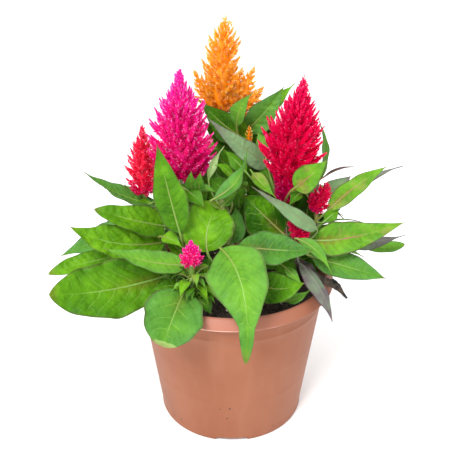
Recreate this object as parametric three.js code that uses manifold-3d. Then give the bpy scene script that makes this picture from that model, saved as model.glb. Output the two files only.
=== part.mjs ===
// Plume celosia (Celosia argentea, plumosa group): six leafy shoots and their flower plumes,
// planted in a round terracotta-coloured plastic pot. Millimetres, +Z up, the origin at the
// centre of the pot's underside, the front of the planting towards -Y.

import * as THREE from 'three';
import { mergeVertices } from 'three/addons/utils/BufferGeometryUtils.js';
import Module from 'manifold-3d';

const wasm = await Module();
wasm.setup();

// ---------------------------------------------------------------- driving dimensions

const POT_HEIGHT = 140;
const RIM_RADIUS = 90;
const RIM_INSIDE = 82.2;
const BASE_RADIUS = 65.7;
const WALL = 1.8;
const LIP_HEIGHT = 10;
const LIP_TOP_WIDTH = 3;
const FOOT_HEIGHT = 4;
const FOOT_RING_WIDTH = 5;
const POT_SIDES = 40;
const NOTCH_WIDTH = 30;
const NOTCH_SLANT = 2.5;
const NOTCH_COUNT = 3;
const DRAIN_RADIUS = 5;
const DRAIN_PLACE = 44;
const DRAIN_COUNT = 5;

const SOIL_LEVEL = 122;
const SOIL_BUMP = 1.6;
const STEM_FOOT = 100;
const STEM_RADIUS = 3.2;
const SIDE_SHOOT_RADIUS = 2.1;
const GAP = 0.3;
const SOIL_GAP = 0.4;

const BLADE_THICKNESS = 0.8;
const BLADE_STEP = 13;
const BROAD_BLADE = 14;
const TIP_HALF_WIDTH = 0.35;
const STALK_THICKNESS = 1.8;
const STALK_HALF_WIDTH = 1.1;
const STALK_RISE = 0.8;
const VEE_ANGLE = THREE.MathUtils.degToRad(14);
const WAVE_SHARE = 0.035;
const GOLDEN_ANGLE = Math.PI * (3 - Math.sqrt(5));

const CORE_SHARE = 0.62;
const SPRAY_LEAN = 0.9;
const CROWN_LEAN = 0.4;
const LOBE_SHARE = 0.12;

const WITHERED_HALF_WIDTH = 6.5;
const WITHERED_THICKNESS = 1;

const COLOURS = {
  pot: 0xbe7d62,
  soil: 0x2a211b,
  leaf: 0x5f9f2c,
  dryLeaf: 0x4a4034,
  orange: 0xff9a1c,
  magenta: 0xee1a8c,
  coral: 0xee2e50,
  crimson: 0xd0083c,
};

// ---------------------------------------------------------------- the plants, chosen by hand

// Ways that the upper side of a blade can face.
const UP = [0, 0, 1];
const TILTED = [0, -0.6, 0.8];
const FRONT = [0, -0.8, 0.6];
const TURNED_OVER = [0, 0.7, -0.7];

// Blade outlines: where along the blade it is widest, and how drawn out the tip is.
const OUTLINES = {
  ovate: { widest: 0.37, taper: 1.25 },
  lance: { widest: 0.36, taper: 2.0 },
  round: { widest: 0.46, taper: 0.62 },
  drop: { widest: 0.26, taper: 1.3 },
  blunt: { widest: 0.45, taper: 0.7 },
  egg: { widest: 0.3, taper: 0.75 },
};

// Each shoot has branches, given by three points each, and leaves. A leaf is the base, the
// middle and the tip of its midrib, the greatest width, the way it faces and its outline.
const SHOOTS = {
  leafy_stem_coral: {
    branches: [[[-56, 12, STEM_FOOT], [-65, 12, 165], [-75, 10, 207]]],
    leaves: [
      [[-64, 6, 199], [-94, 0, 210], [-122, -6, 233], 21, [0, -0.25, 1], 'ovate'],
      [[-58, -6, 183], [-84, -20, 196], [-113, -22, 206], 28, TILTED, 'egg'],
      [[-81, 14, 178], [-116, 6, 165], [-150, -4, 153], 24, [0.2, -0.5, 0.85], 'ovate'],
      [[-68, 3, 201], [-76, 1, 201], [-85, -2, 206], 9, TILTED, 'lance'],
      [[-79, 14, 205], [-86, 12, 209], [-92, 10, 215], 7, TILTED, 'lance'],
      [[-72, 20, 168], [-96, 38, 174], [-122, 54, 152], 28, UP, 'ovate'],
      [[-68, 22, 146], [-90, 52, 146], [-108, 80, 122], 28, UP, 'ovate'],
    ],
  },
  leafy_stem_magenta: {
    branches: [[[-38, 8, STEM_FOOT], [-39, 4, 170], [-41, 0, 226]]],
    leaves: [
      [[-57, -14, 172], [-96, -30, 179], [-131, -36, 197], 34, [0, -0.7, 0.7], 'ovate'],
      [[-70, -10, 160], [-113, -24, 160], [-152, -40, 155], 21, TILTED, 'blunt'],
      [[-41.5, -45, 195.4], [-49.6, -42, 229.7], [-58, -34, 266], 26, [0.1, -1, 0.3], 'ovate'],
      [[-42, -16, 224], [-33, -22, 220], [-22, -30, 211], 19, [0.3, -0.8, 0.5], 'ovate'],
      [[-30, -16, 222], [-20, -20, 223], [-12, -22, 220], 8, [0.1, -0.4, 0.9], 'lance'],
      [[-57, -34, 187], [-48, -42, 188], [-40, -46, 183], 13, [0.2, -0.7, 0.7], 'lance'],
      [[-44, 16, 172], [-66, 46, 180], [-86, 78, 164], 30, UP, 'ovate'],
      [[-40, 18, 150], [-66, 58, 152], [-92, 92, 128], 32, UP, 'ovate'],
      [[-36, 12, 205], [-33, 30, 212], [-28, 46, 205], 18, UP, 'ovate'],
      [[-32, -18, 222], [-33, -27, 232], [-32, -33, 243], 10, FRONT, 'ovate'],
      [[-27, -18, 221], [-26, -27, 231], [-25, -32, 242], 10, FRONT, 'ovate'],
      [[-39, 10, 187.3], [-30, 13, 207.7], [-20, 15, 231], 24, FRONT, 'ovate'],
    ],
  },
  leafy_stem_front: {
    branches: [[[-31, -48, STEM_FOOT], [-31, -52, 155], [-32, -58, 175]]],
    leaves: [
      [[-39, -52, 170], [-70, -60, 179], [-99, -66, 193], 22, [0, -0.5, 0.87], 'drop'],
      [[-56, -42, 154], [-102, -63, 153], [-142, -79, 159], 48, FRONT, 'blunt'],
      [[-38, -66, 153], [-46, -91, 144], [-53, -104, 127.5], 47, FRONT, 'round'],
      [[-33, -58, 145], [-23, -64, 142], [-17, -70, 135], 16, [0.3, -0.7, 0.7], 'ovate'],
      [[-41, -50, 150], [-53, -54, 152], [-67, -58, 149], 12, [0, -0.7, 0.7], 'lance'],
      [[-48, -26, 142], [-80, -34, 148], [-112, -46, 138], 28, UP, 'ovate'],
      [[-35, -36, 163], [-44, -32, 174], [-56, -34, 184], 16, FRONT, 'ovate'],
      [[-26, -38, 150], [-20, -37, 161], [-20, -31, 172], 13, FRONT, 'ovate'],
      [[-38, -44, 158], [-47, -48, 163], [-60, -50, 166], 14, FRONT, 'ovate'],
    ],
    rosette: { centre: [-32, -56, 160], count: 9, length: 17, width: 10 },
  },
  leafy_stem_centre: {
    branches: [[[2, -14, STEM_FOOT], [0, -18, 165], [-8, -18, 214]]],
    leaves: [
      [[-20, -42, 177], [-19.5, -33, 195], [-11, -13, 208], 43.5, [0.1, -0.8, 0.6], 'round'],
      [[-8, -22, 209], [-2, -20, 214], [5, -16, 219], 10, [-0.2, -0.6, 0.8], 'lance'],
      [[-16, -28, 217], [5, -24, 234], [12, -14, 257], 16, [-0.5, -0.8, 0.3], 'lance', -50],
      [[-19, -12, 228], [-15, -11, 242], [-6, -6, 255], 8, [0.6, -0.75, 0.3], 'lance'],
      [[-3, -22, 175], [2.7, -17, 188.4], [3, -10, 202.7], 20, [0.4, -0.9, 0.4], 'ovate'],
      [[1, -10, 227], [-6, -12, 238], [-14, -13, 241], 9, [-0.2, -0.5, 0.85], 'lance'],
      [[-9, -46, 182], [8, -90, 169], [10, -118, 122], 48, [-0.3, -0.5, 0.8], 'lance'],
      [[5, -38, 180], [35, -52, 184], [64, -58, 186], 29, [0, -0.7, 0.7], 'ovate'],
      [[20, -50, 152], [38, -62, 154], [57, -68, 163], 28, [0, -0.75, 0.65], 'ovate'],
      [[44, -58, 140], [54, -60, 145], [63, -60, 152], 9, [0, -0.7, 0.7], 'lance'],
      [[42, -46, 166], [50, -53, 161], [56, -58, 156], 8, [0, -0.7, 0.7], 'lance'],
      [[26, -30, 160], [30, -36, 163], [38, -42, 160], 14, [0, -0.7, 0.7], 'ovate'],
      [[0, -6, 206], [-8, -6, 218], [-22, -8, 228], 20, FRONT, 'ovate'],
      [[39, -30, 161], [47, -36, 155], [57, -40, 144], 18, FRONT, 'ovate'],
      [[9, -6, 190], [6, -4, 204], [12, 0, 217], 18, FRONT, 'ovate'],
    ],
  },
  leafy_stem_orange: {
    branches: [
      [[-5, 44, STEM_FOOT], [-6, 46, 200], [-11, 40, 268]],
      [[-5, 45, 205], [10, 30, 225], [15, 22, 244]],
    ],
    leaves: [
      [[7, 30, 252], [-9, 26, 265], [-30, 30, 286], 26, [-0.2, -0.85, 0.5], 'lance'],
      [[4, 22, 262], [7, 16, 280], [17, 12, 294], 15, [-0.3, -0.9, 0.3], 'lance'],
      [[13, 32, 256], [27, 30, 271.5], [44, 36, 293], 24, [0.2, -0.9, 0.4], 'ovate'],
      [[26, 42, 267], [40, 48, 279], [55, 56, 291], 13, [0.2, -0.7, 0.7], 'lance'],
      [[-4, 54, 245], [-2, 76, 255], [2, 98, 240], 24, UP, 'ovate'],
      [[4, 52, 225], [28, 74, 232], [52, 92, 215], 28, UP, 'ovate'],
      [[-12, 52, 222], [-34, 74, 228], [-58, 92, 212], 28, UP, 'ovate'],
      [[-4, 56, 195], [-10, 90, 202], [-14, 118, 178], 34, UP, 'ovate'],
      [[6, 54, 185], [38, 84, 188], [70, 110, 165], 34, UP, 'ovate'],
      [[-14, 52, 182], [-46, 84, 186], [-76, 108, 162], 32, UP, 'ovate'],
      [[-4, 56, 160], [14, 90, 162], [27, 119, 134], 32, UP, 'ovate'],
      [[-8, 56, 158], [-30, 91, 160], [-45, 119, 132], 32, UP, 'ovate'],
      [[6, 36, 235], [-7, 32, 247], [-25, 32, 265], 22, FRONT, 'ovate'],
      [[18, 32, 237], [22, 28, 246], [27, 26, 257], 13, FRONT, 'ovate'],
      [[4, 28, 216], [-7, 22, 231], [-21, 24, 241], 24, FRONT, 'ovate'],
      [[7, 28, 212], [14, 24, 227], [22, 22, 242], 20, FRONT, 'ovate'],
      [[6, 34, 240], [9, 31, 253], [12, 30, 266], 12, FRONT, 'ovate'],
    ],
  },
  leafy_stem_crimson: {
    branches: [
      [[46, 8, STEM_FOOT], [46, 4, 160], [44, 0, 203]],
      [[46, 5, 160], [62, -2, 180], [71, -10, 198]],
      [[46, 5, 150], [52, -14, 166], [56, -26, 182]],
    ],
    leaves: [
      [[31, 10, 232], [7, 4, 252], [-21, 2, 277], 19, [-0.3, 0.85, -0.3], 'drop'],
      [[28, 12, 243], [26, 17, 250], [22, 23, 257], 13, [-0.3, -0.8, 0.5], 'ovate'],
      [[12, 0, 230], [3, 4, 239], [-7, 8, 247], 14, [-0.3, -0.8, 0.6], 'lance'],
      [[17, -6, 232], [25, -14, 225], [36, -22, 216], 13, [0.2, -0.7, 0.7], 'lance'],
      [[36, 3, 211], [30, 8, 225], [21, 10, 237], 16, [-0.4, -0.6, 0.6], 'ovate'],
      [[75, 14, 215], [78.5, 15, 244], [71.5, 14, 272], 12, [0.75, -0.6, 0.3], 'lance'],
      [[51, -20, 224], [62, -25, 236], [75, -24, 249], 22, [0.2, -0.7, 0.7], 'ovate'],
      [[77, 6, 223], [91, 8, 230], [104, 10, 231], 6, [0, 0.1, 1], 'lance'],
      [[80, -14, 201], [102, -10, 221], [127, -6, 237], 17, [0, -0.75, 0.66], 'ovate'],
      [[96, 2, 208], [119, 6, 223], [146, 10, 232], 7, TURNED_OVER, 'lance'],
      [[80, 4, 207], [91, 8, 214], [102, 14, 221], 17, [0, 0.8, -0.5], 'ovate'],
      [[69, -30, 192], [46, -38, 211], [15, -42, 234], 14, [0.3, 0.6, -0.75], 'drop'],
      [[68, -20, 187], [89, -14, 193], [113, -8, 187], 5, [0, 0.3, 1], 'lance'],
      [[76, -4, 199], [85, -2, 197], [96, 0, 190], 4, [0, 0.3, 1], 'lance'],
      [[42, -26, 186], [25, -20, 201], [9, -10, 214], 38, [-0.1, -0.9, 0.4], 'ovate'],
      [[57, -13, 217], [52, -18, 215], [46, -24, 209], 11, [-0.2, -0.7, 0.7], 'lance'],
      [[77, -18, 193], [84, -16, 199], [91, -12, 202], 11, [0.2, -0.8, 0.6], 'lance'],
      [[53, -36, 186], [69, -46, 179], [80, -56, 164], 11, [0.3, -0.8, 0.5], 'lance'],
      [[68, -22, 178], [98, -28, 183], [141, -30, 198], 29, FRONT, 'ovate'],
      [[98, -10, 166], [123, -10, 170], [149, -8, 175.5], 12, TURNED_OVER, 'lance'],
      [[106, 2, 162], [135, 2, 159], [152, 2, 162], 12, TILTED, 'blunt'],
      [[68, -26, 164], [96, -34, 159], [128, -40, 151], 28, [0, -0.65, 0.75], 'ovate'],
      [[56, -36, 163], [71.5, -56, 149.5], [81, -68, 127], 17, [-0.55, 0.7, -0.2], 'ovate'],
      [[54, 14, 196], [76, 38, 202], [98, 60, 182], 28, UP, 'ovate'],
      [[50, 18, 162], [80, 52, 162], [110, 82, 136], 32, UP, 'ovate'],
      [[44, 20, 150], [54, 66, 152], [62, 106, 128], 32, UP, 'ovate'],
      [[54, 8, 140], [88, 24, 146], [126, 38, 130], 26, UP, 'ovate'],
      [[46, 12, 205], [50, 34, 214], [58, 54, 206], 22, UP, 'ovate'],
      [[50, 4, 195], [58, 3, 207], [72, 2, 219], 18, FRONT, 'ovate'],
      [[58, 2, 172], [69, 4, 182], [86, 4, 191], 14, FRONT, 'ovate'],
      [[58, 8, 146], [68, 4, 142], [78, -2, 133], 12, FRONT, 'ovate'],
      [[42, 10, 192], [29, 12, 202], [10, 12, 213], 25, FRONT, 'ovate'],
      [[62, -2, 183], [65, 0, 197], [66, 3, 211], 12, FRONT, 'ovate'],
    ],
  },
};

// Each plume has one or more heads: the foot and the tip of its axis, its greatest radius, its
// outline, and how many rows of side sprays it has and how many sprays stand round in a row.
const HEAD_OUTLINES = {
  cone: [
    [0, 0.5], [0.1, 0.9], [0.22, 1], [0.5, 0.9],
    [0.68, 0.68], [0.8, 0.37], [0.9, 0.13], [1, 0.03],
  ],
  necked: [
    [0, 0.22], [0.2, 0.38], [0.32, 0.8], [0.45, 1],
    [0.62, 0.84], [0.78, 0.46], [0.9, 0.13], [1, 0.03],
  ],
  column: [
    [0, 0.45], [0.12, 0.9], [0.45, 1], [0.7, 0.85],
    [0.84, 0.45], [0.92, 0.2], [1, 0.04],
  ],
};

const PLUMES = {
  plume_orange: {
    colour: 'orange',
    heads: [
      [[-11, 40, 268.3], [-5, 40, 351], 14, 'column', 15, 8],
      [[-14, 40, 272], [-32, 38, 307], 9, 'cone', 8, 5],
      [[-1, 38, 277], [9, 37, 309], 8, 'cone', 7, 5],
      [[3, 40, 274], [19.5, 42, 309], 9, 'cone', 8, 5],
      [[8, 38, 272], [27, 39, 292], 8, 'cone', 6, 5],
      [[-6, 46, 276], [-10, 57, 304], 9, 'cone', 7, 5],
    ],
  },
  plume_magenta: {
    colour: 'magenta',
    heads: [
      [[-41, 0, 226.3], [-41.5, 0, 318], 23.5, 'cone', 17, 12],
    ],
  },
  plume_coral: {
    colour: 'coral',
    heads: [
      [[-75, 10, 207.3], [-74, 10, 269], 12, 'cone', 13, 8],
    ],
  },
  plume_crimson: {
    colour: 'crimson',
    heads: [
      [[44, 0, 203.3], [57, 0, 312], 23, 'necked', 19, 12],
    ],
  },
  plume_front: {
    colour: 'magenta',
    heads: [
      [[-32, -58, 175.3], [-32, -60, 196], 8.5, 'cone', 7, 8],
    ],
  },
  side_plume_orange: {
    colour: 'orange',
    heads: [
      [[15, 22, 244.3], [14.5, 20, 264], 2.4, 'column', 7, 5],
    ],
  },
  side_plume_right: {
    colour: 'crimson',
    heads: [
      [[71, -10, 198.3], [79, -10, 225], 6, 'column', 8, 6],
      [[70, -10, 201], [66, -12, 216], 4, 'cone', 5, 5],
    ],
  },
  side_plume_low: {
    colour: 'crimson',
    heads: [
      [[56, -26, 182.3], [55, -28, 203], 7, 'cone', 7, 7],
      [[56, -27, 186], [64, -32, 192], 4, 'cone', 5, 5],
      [[56, -27, 186], [46, -30, 198], 4, 'cone', 5, 5],
    ],
  },
};

// A dead leaf hangs out over the rim along this line.
const WITHERED_LINE = [
  [50.2, 2, 140], [58, -12, 149], [68, -22, 150], [78, -28, 145.2], [87, -31, 139.7], [98, -35, 129],
];

// ---------------------------------------------------------------- helpers

const vector = (values) => new THREE.Vector3(...values);

const materials = Object.fromEntries(Object.entries(COLOURS).map(([name, colour]) => [
  name,
  new THREE.MeshStandardMaterial({ color: colour, roughness: 0.6, metalness: 0 }),
]));

// A repeatable random number generator (mulberry32), giving numbers from 0 to 1.
function seededRandom(seed) {
  let state = seed;
  return () => {
    state = (state + 0x6d2b79f5) | 0;
    let mixed = Math.imul(state ^ (state >>> 15), 1 | state);
    mixed = (mixed + Math.imul(mixed ^ (mixed >>> 7), 61 | mixed)) ^ mixed;
    return ((mixed ^ (mixed >>> 14)) >>> 0) / 4294967296;
  };
}

function toSolid(geometry) {
  geometry.deleteAttribute('normal');
  geometry.deleteAttribute('uv');
  const merged = mergeVertices(geometry, 1e-4);
  return new wasm.Manifold(new wasm.Mesh({
    numProp: 3,
    vertProperties: new Float32Array(merged.attributes.position.array),
    triVerts: new Uint32Array(merged.index.array),
  }));
}

function toMesh(name, solid, material) {
  const { vertProperties, triVerts } = solid.getMesh();
  const geometry = new THREE.BufferGeometry();
  geometry.setAttribute('position', new THREE.BufferAttribute(new Float32Array(vertProperties), 3));
  geometry.setIndex(new THREE.BufferAttribute(new Uint32Array(triVerts), 1));
  const mesh = new THREE.Mesh(geometry, material.clone());
  mesh.name = name;
  return mesh;
}

// Joins solids into one body. A hollow that joining seals comes out as a body of its own with
// less than no volume, and is filled by leaving it out. A loose piece is a mistake.
function join(solids) {
  const bodies = solids.reduce((whole, solid) => whole.add(solid)).decompose()
    .sort((a, b) => b.volume() - a.volume());
  if (bodies.length > 1 && bodies[1].volume() > 1) {
    throw new Error(`a piece of ${bodies[1].volume()} mm3 is loose`);
  }
  return bodies[0];
}

// ---------------------------------------------------------------- pot and soil

// The pot's inner wall slopes from the round corner at its floor out to the rim.
const INNER_FLOOR = FOOT_HEIGHT + WALL;
const CORNER_RADIUS = BASE_RADIUS - WALL + 0.4;
const CORNER_ROUND = 2;
const insideRadius = (z) => THREE.MathUtils.mapLinear(
  z, INNER_FLOOR + CORNER_ROUND, POT_HEIGHT, CORNER_RADIUS, RIM_INSIDE,
);

function makePot() {
  const lipFoot = POT_HEIGHT - LIP_HEIGHT;
  const wallTop = insideRadius(lipFoot) + WALL;
  const profile = [
    [0, FOOT_HEIGHT],
    [BASE_RADIUS - FOOT_RING_WIDTH, FOOT_HEIGHT],
    [BASE_RADIUS - FOOT_RING_WIDTH + 1.6, 0],
    [BASE_RADIUS - 1.2, 0],
    [BASE_RADIUS + 0.3, 2.2],
    [wallTop, lipFoot - 0.4],
    [RIM_RADIUS - 1.4, lipFoot + 0.3],
    [RIM_RADIUS, lipFoot + 2.4],
    [RIM_INSIDE + LIP_TOP_WIDTH, POT_HEIGHT - 0.7],
    [RIM_INSIDE + LIP_TOP_WIDTH / 2, POT_HEIGHT],
    [RIM_INSIDE, POT_HEIGHT - 0.7],
    [CORNER_RADIUS, INNER_FLOOR + CORNER_ROUND],
    [CORNER_RADIUS - CORNER_ROUND, INNER_FLOOR],
    [0, INNER_FLOOR],
  ].map(([radius, z]) => new THREE.Vector2(radius, z));
  const shell = new THREE.LatheGeometry(profile, POT_SIDES).rotateX(Math.PI / 2);
  let pot = toSolid(shell);

  const notchTop = FOOT_HEIGHT - 0.2;
  const shape = new THREE.Shape([
    new THREE.Vector2(-NOTCH_WIDTH / 2, -1),
    new THREE.Vector2(NOTCH_WIDTH / 2, -1),
    new THREE.Vector2(NOTCH_WIDTH / 2 - NOTCH_SLANT, notchTop),
    new THREE.Vector2(-NOTCH_WIDTH / 2 + NOTCH_SLANT, notchTop),
  ]);
  for (let i = 0; i < NOTCH_COUNT; i += 1) {
    const turn = (2 * Math.PI * i) / NOTCH_COUNT;
    const notch = new THREE.ExtrudeGeometry(shape, { depth: 20, bevelEnabled: false })
      .rotateX(Math.PI / 2)
      .translate(0, -BASE_RADIUS + 12, 0)
      .rotateZ(turn);
    pot = pot.subtract(toSolid(notch));
  }

  for (let i = 0; i < DRAIN_COUNT; i += 1) {
    const turn = (2 * Math.PI * (i + 0.5)) / DRAIN_COUNT;
    const drain = new THREE.CylinderGeometry(DRAIN_RADIUS, DRAIN_RADIUS, 8, 10)
      .rotateX(Math.PI / 2)
      .translate(DRAIN_PLACE * Math.cos(turn), DRAIN_PLACE * Math.sin(turn), FOOT_HEIGHT + 1);
    pot = pot.subtract(toSolid(drain));
  }
  return toMesh('pot', pot, materials.pot);
}

// The lie of the soil's surface, as two sets of low bumps.
const soilHeight = (x, y) => SOIL_LEVEL
  + SOIL_BUMP * (Math.sin(x * 0.14 + 1) * Math.cos(y * 0.11) + 0.5 * Math.sin(x * 0.31 - y * 0.27));

function makeSoil() {
  const top = SOIL_LEVEL - 1;
  const floor = INNER_FLOOR + SOIL_GAP;
  const profile = [
    [0, floor],
    [CORNER_RADIUS - CORNER_ROUND - SOIL_GAP, floor],
    [CORNER_RADIUS - SOIL_GAP, floor + CORNER_ROUND],
    [insideRadius(top) - SOIL_GAP, top],
    [66, SOIL_LEVEL],
    [46, SOIL_LEVEL],
    [24, SOIL_LEVEL],
    [0, SOIL_LEVEL],
  ].map(([radius, z]) => new THREE.Vector2(radius, z));
  const heap = new THREE.LatheGeometry(profile, 24).rotateX(Math.PI / 2);
  const position = heap.attributes.position;
  for (let i = 0; i < position.count; i += 1) {
    if (position.getZ(i) > top + 0.5) {
      position.setZ(i, soilHeight(position.getX(i), position.getY(i)));
    }
  }
  let soil = toSolid(heap);
  for (const { branches } of Object.values(SHOOTS)) {
    const [x, y, foot] = branches[0][0];
    const radius = STEM_RADIUS + 2 * GAP;
    const hole = new THREE.CylinderGeometry(radius, radius, 40, 10)
      .rotateX(Math.PI / 2)
      .translate(x, y, foot - GAP + 20);
    soil = soil.subtract(toSolid(hole));
  }
  return toMesh('soil', soil, materials.soil);
}

// ---------------------------------------------------------------- leaves

function outlineShare(name, s) {
  const { widest, taper } = OUTLINES[name];
  const rise = (taper * widest) / (1 - widest);
  return (s / widest) ** rise * ((1 - s) / (1 - widest)) ** taper;
}

// The points across a leaf, from its stalk's foot to its tip: each row has the left edge, the
// midrib and the right edge, on the upper side and again on the underside.
function leafRows({ root, base, middle, tip, width, face, outline, twist = 0, phase }) {
  const bladeSteps = Math.round(THREE.MathUtils.clamp(base.distanceTo(tip) / BLADE_STEP, 3, 7));
  const spread = width > BROAD_BLADE ? [-1, 0, 1] : [-1, 1];
  const bend = middle.clone().multiplyScalar(2).sub(base.clone().add(tip).multiplyScalar(0.5));
  const blade = new THREE.QuadraticBezierCurve3(base, bend, tip);
  const chord = tip.clone().sub(base).normalize();
  const across = chord.clone().cross(face).normalize();

  const rows = [];
  for (let i = -1; i <= bladeSteps; i += 1) {
    const s = Math.max(0, i / bladeSteps);
    const point = i < 0 ? root : blade.getPoint(s);
    const along = i < 0 ? base.clone().sub(root).normalize() : blade.getTangent(s);
    const side = across.clone().addScaledVector(along, -across.dot(along)).normalize();
    side.applyAxisAngle(along, THREE.MathUtils.degToRad(twist) * s);
    const normal = side.clone().cross(along);
    const stalkWidth = STALK_HALF_WIDTH * Math.sqrt(1 - s) + TIP_HALF_WIDTH * s;
    const halfWidth = Math.max((width / 2) * outlineShare(outline, s), stalkWidth);
    const thickness = THREE.MathUtils.lerp(BLADE_THICKNESS, STALK_THICKNESS, (1 - s) ** 6);
    const top = spread.map((q) => {
      const wave = WAVE_SHARE * width * Math.sin(Math.PI * s) ** 0.7
        * Math.sin(3.2 * Math.PI * s + phase + (q > 0 ? 2.2 : 0));
      const lift = Math.abs(q) * (halfWidth * Math.sin(VEE_ANGLE) + wave);
      return point.clone()
        .addScaledVector(side, q * halfWidth * Math.cos(VEE_ANGLE))
        .addScaledVector(normal, lift);
    });
    const under = top.map((p) => p.clone().addScaledVector(normal, -thickness));
    rows.push([...top, ...under]);
  }
  return rows;
}

// Closes rows of upper and underside points into a thin solid, with both sides split alike.
function bladeGeometry(rows) {
  const points = rows.flat();
  const across = rows[0].length / 2;
  const top = (i, j) => 2 * across * i + j;
  const under = (i, j) => 2 * across * i + across + j;
  const index = [];
  const quad = (a, b, c, d) => index.push(a, b, c, a, c, d);
  const last = rows.length - 1;
  for (let i = 0; i < last; i += 1) {
    for (let j = 0; j < across - 1; j += 1) {
      quad(top(i, j), top(i, j + 1), top(i + 1, j + 1), top(i + 1, j));
      index.push(under(i, j), under(i + 1, j + 1), under(i, j + 1));
      index.push(under(i, j), under(i + 1, j), under(i + 1, j + 1));
    }
    quad(under(i, 0), top(i, 0), top(i + 1, 0), under(i + 1, 0));
    quad(top(i, across - 1), under(i, across - 1), under(i + 1, across - 1), top(i + 1, across - 1));
  }
  for (let j = 0; j < across - 1; j += 1) {
    quad(top(0, j), under(0, j), under(0, j + 1), top(0, j + 1));
    quad(top(last, j), top(last, j + 1), under(last, j + 1), under(last, j));
  }
  const geometry = new THREE.BufferGeometry().setFromPoints(points);
  geometry.setIndex(index);
  return geometry;
}

// ---------------------------------------------------------------- shoots

// A main stem leaves the soil upright, and every branch is upright again under its plume.
function branchCurve([foot, bend, top]) {
  const points = [vector(foot), vector(bend), vector(top).setZ(top[2] - 9), vector(top)];
  if (foot[2] === STEM_FOOT) {
    points.splice(1, 0, vector(foot).setZ(SOIL_LEVEL + 4));
  }
  return new THREE.CatmullRomCurve3(points);
}

function makeBranch(branch, radius) {
  const section = new THREE.Shape();
  for (let i = 0; i < 6; i += 1) {
    const angle = (Math.PI * i) / 3;
    const place = [radius * Math.cos(angle), radius * Math.sin(angle)];
    if (i === 0) section.moveTo(...place);
    else section.lineTo(...place);
  }
  return toSolid(new THREE.ExtrudeGeometry(section, {
    steps: 5,
    extrudePath: branchCurve(branch),
    bevelEnabled: false,
  }));
}

// A leaf stalk leaves the nearest branch, above the soil and clear of the plume, and rises
// with the slope STALK_RISE where it can.
function stalkRoot(curves, base) {
  let best = { distance: Infinity };
  for (const curve of curves) {
    for (let t = 0.24; t <= 0.74; t += 0.01) {
      const point = curve.getPoint(t);
      const out = Math.hypot(base.x - point.x, base.y - point.y);
      const distance = 2 * out + Math.abs(base.z - STALK_RISE * out - point.z);
      if (distance < best.distance) {
        best = { distance, point };
      }
    }
  }
  return best.point;
}

// Small leaves set round the shoot, just under its plume.
function rosetteLeaves({ centre, count, length, width }) {
  const random = seededRandom(5);
  const leaves = [];
  for (let i = 0; i < count; i += 1) {
    const turn = (2 * Math.PI * (i + 0.6 * random())) / count;
    const reach = length * (0.8 + 0.4 * random());
    const drop = 4 * (i % 3);
    const at = (out, rise) => [
      centre[0] + out * Math.cos(turn),
      centre[1] + out * Math.sin(turn),
      centre[2] - drop + rise,
    ];
    leaves.push([at(5, 0), at(5 + reach * 0.5, 3), at(5 + reach, -3), width, UP, 'ovate']);
  }
  return leaves;
}

function makeShoot(name, { branches, leaves, rosette }) {
  const curves = branches.map(branchCurve);
  const solids = branches.map((branch, i) => makeBranch(
    branch, i === 0 ? STEM_RADIUS : SIDE_SHOOT_RADIUS,
  ));
  const all = rosette ? [...leaves, ...rosetteLeaves(rosette)] : leaves;
  all.forEach(([base, middle, tip, width, face, outline, twist], i) => {
    const rows = leafRows({
      root: stalkRoot(curves, vector(base)),
      base: vector(base),
      middle: vector(middle),
      tip: vector(tip),
      width,
      face: vector(face),
      outline,
      twist,
      phase: GOLDEN_ANGLE * i,
    });
    solids.push(toSolid(bladeGeometry(rows)));
  });
  return toMesh(name, join(solids), materials.leaf);
}

// ---------------------------------------------------------------- plumes

function envelope(points, u) {
  const next = Math.max(1, points.findIndex(([at]) => at >= u));
  const [[u0, r0], [u1, r1]] = [points[next - 1], points[next]];
  return THREE.MathUtils.mapLinear(u, u0, u1, r0, r1);
}

// A head's surface is a lattice of diamonds, and out of each rises one pointed side spray.
function headGeometry(length, radius, outline, rows, columns, random) {
  const points = HEAD_OUTLINES[outline];
  const reach = (u, turn) => radius * envelope(points, THREE.MathUtils.clamp(u, 0, 1))
    * (1 + LOBE_SHARE * Math.sin(3 * turn + 9 * u) * Math.sin(Math.PI * u));
  const place = (out, turn, height) => new THREE.Vector3(
    out * Math.cos(turn), out * Math.sin(turn), height,
  );
  const level = (i) => 0.02 + 0.93 * (i / rows);
  const turnOf = (i, j) => (2 * Math.PI * (j + (i % 2) / 2)) / columns;
  const vertices = [];
  const index = [];
  for (let i = 0; i <= rows; i += 1) {
    for (let j = 0; j < columns; j += 1) {
      const turn = turnOf(i, j);
      vertices.push(place(CORE_SHARE * reach(level(i), turn), turn, level(i) * length));
    }
  }
  const ring = (i, j) => i * columns + (j % columns);
  for (let i = 1; i < rows; i += 1) {
    for (let j = 0; j < columns; j += 1) {
      const between = j + (i % 2);
      const [left, right] = [ring(i, j), ring(i, j + 1)];
      const [low, high] = [ring(i - 1, between), ring(i + 1, between)];
      const turn = turnOf(i, j + 0.5);
      const lean = SPRAY_LEAN * (1 - CORE_SHARE) * reach(level(i), turn)
        + CROWN_LEAN * radius * level(i) * (1 - level(i) ** 2);
      const height = level(i) * length + lean;
      const tipReach = reach(height / length, turn) * (0.88 + 0.24 * random());
      const tip = vertices.push(place(tipReach, turn, height)) - 1;
      index.push(low, right, tip, right, high, tip, high, left, tip, left, low, tip);
    }
  }
  const foot = vertices.push(place(0, 0, 0)) - 1;
  const top = vertices.push(place(0, 0, length)) - 1;
  for (let j = 0; j < columns; j += 1) {
    const under = j + (rows % 2);
    index.push(foot, ring(0, j + 1), ring(0, j), ring(0, j), ring(0, j + 1), ring(1, j));
    index.push(top, ring(rows, j), ring(rows, j + 1));
    index.push(ring(rows, j), ring(rows - 1, under), ring(rows, j + 1));
  }
  const geometry = new THREE.BufferGeometry().setFromPoints(vertices);
  geometry.setIndex(index);
  return geometry;
}

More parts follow.
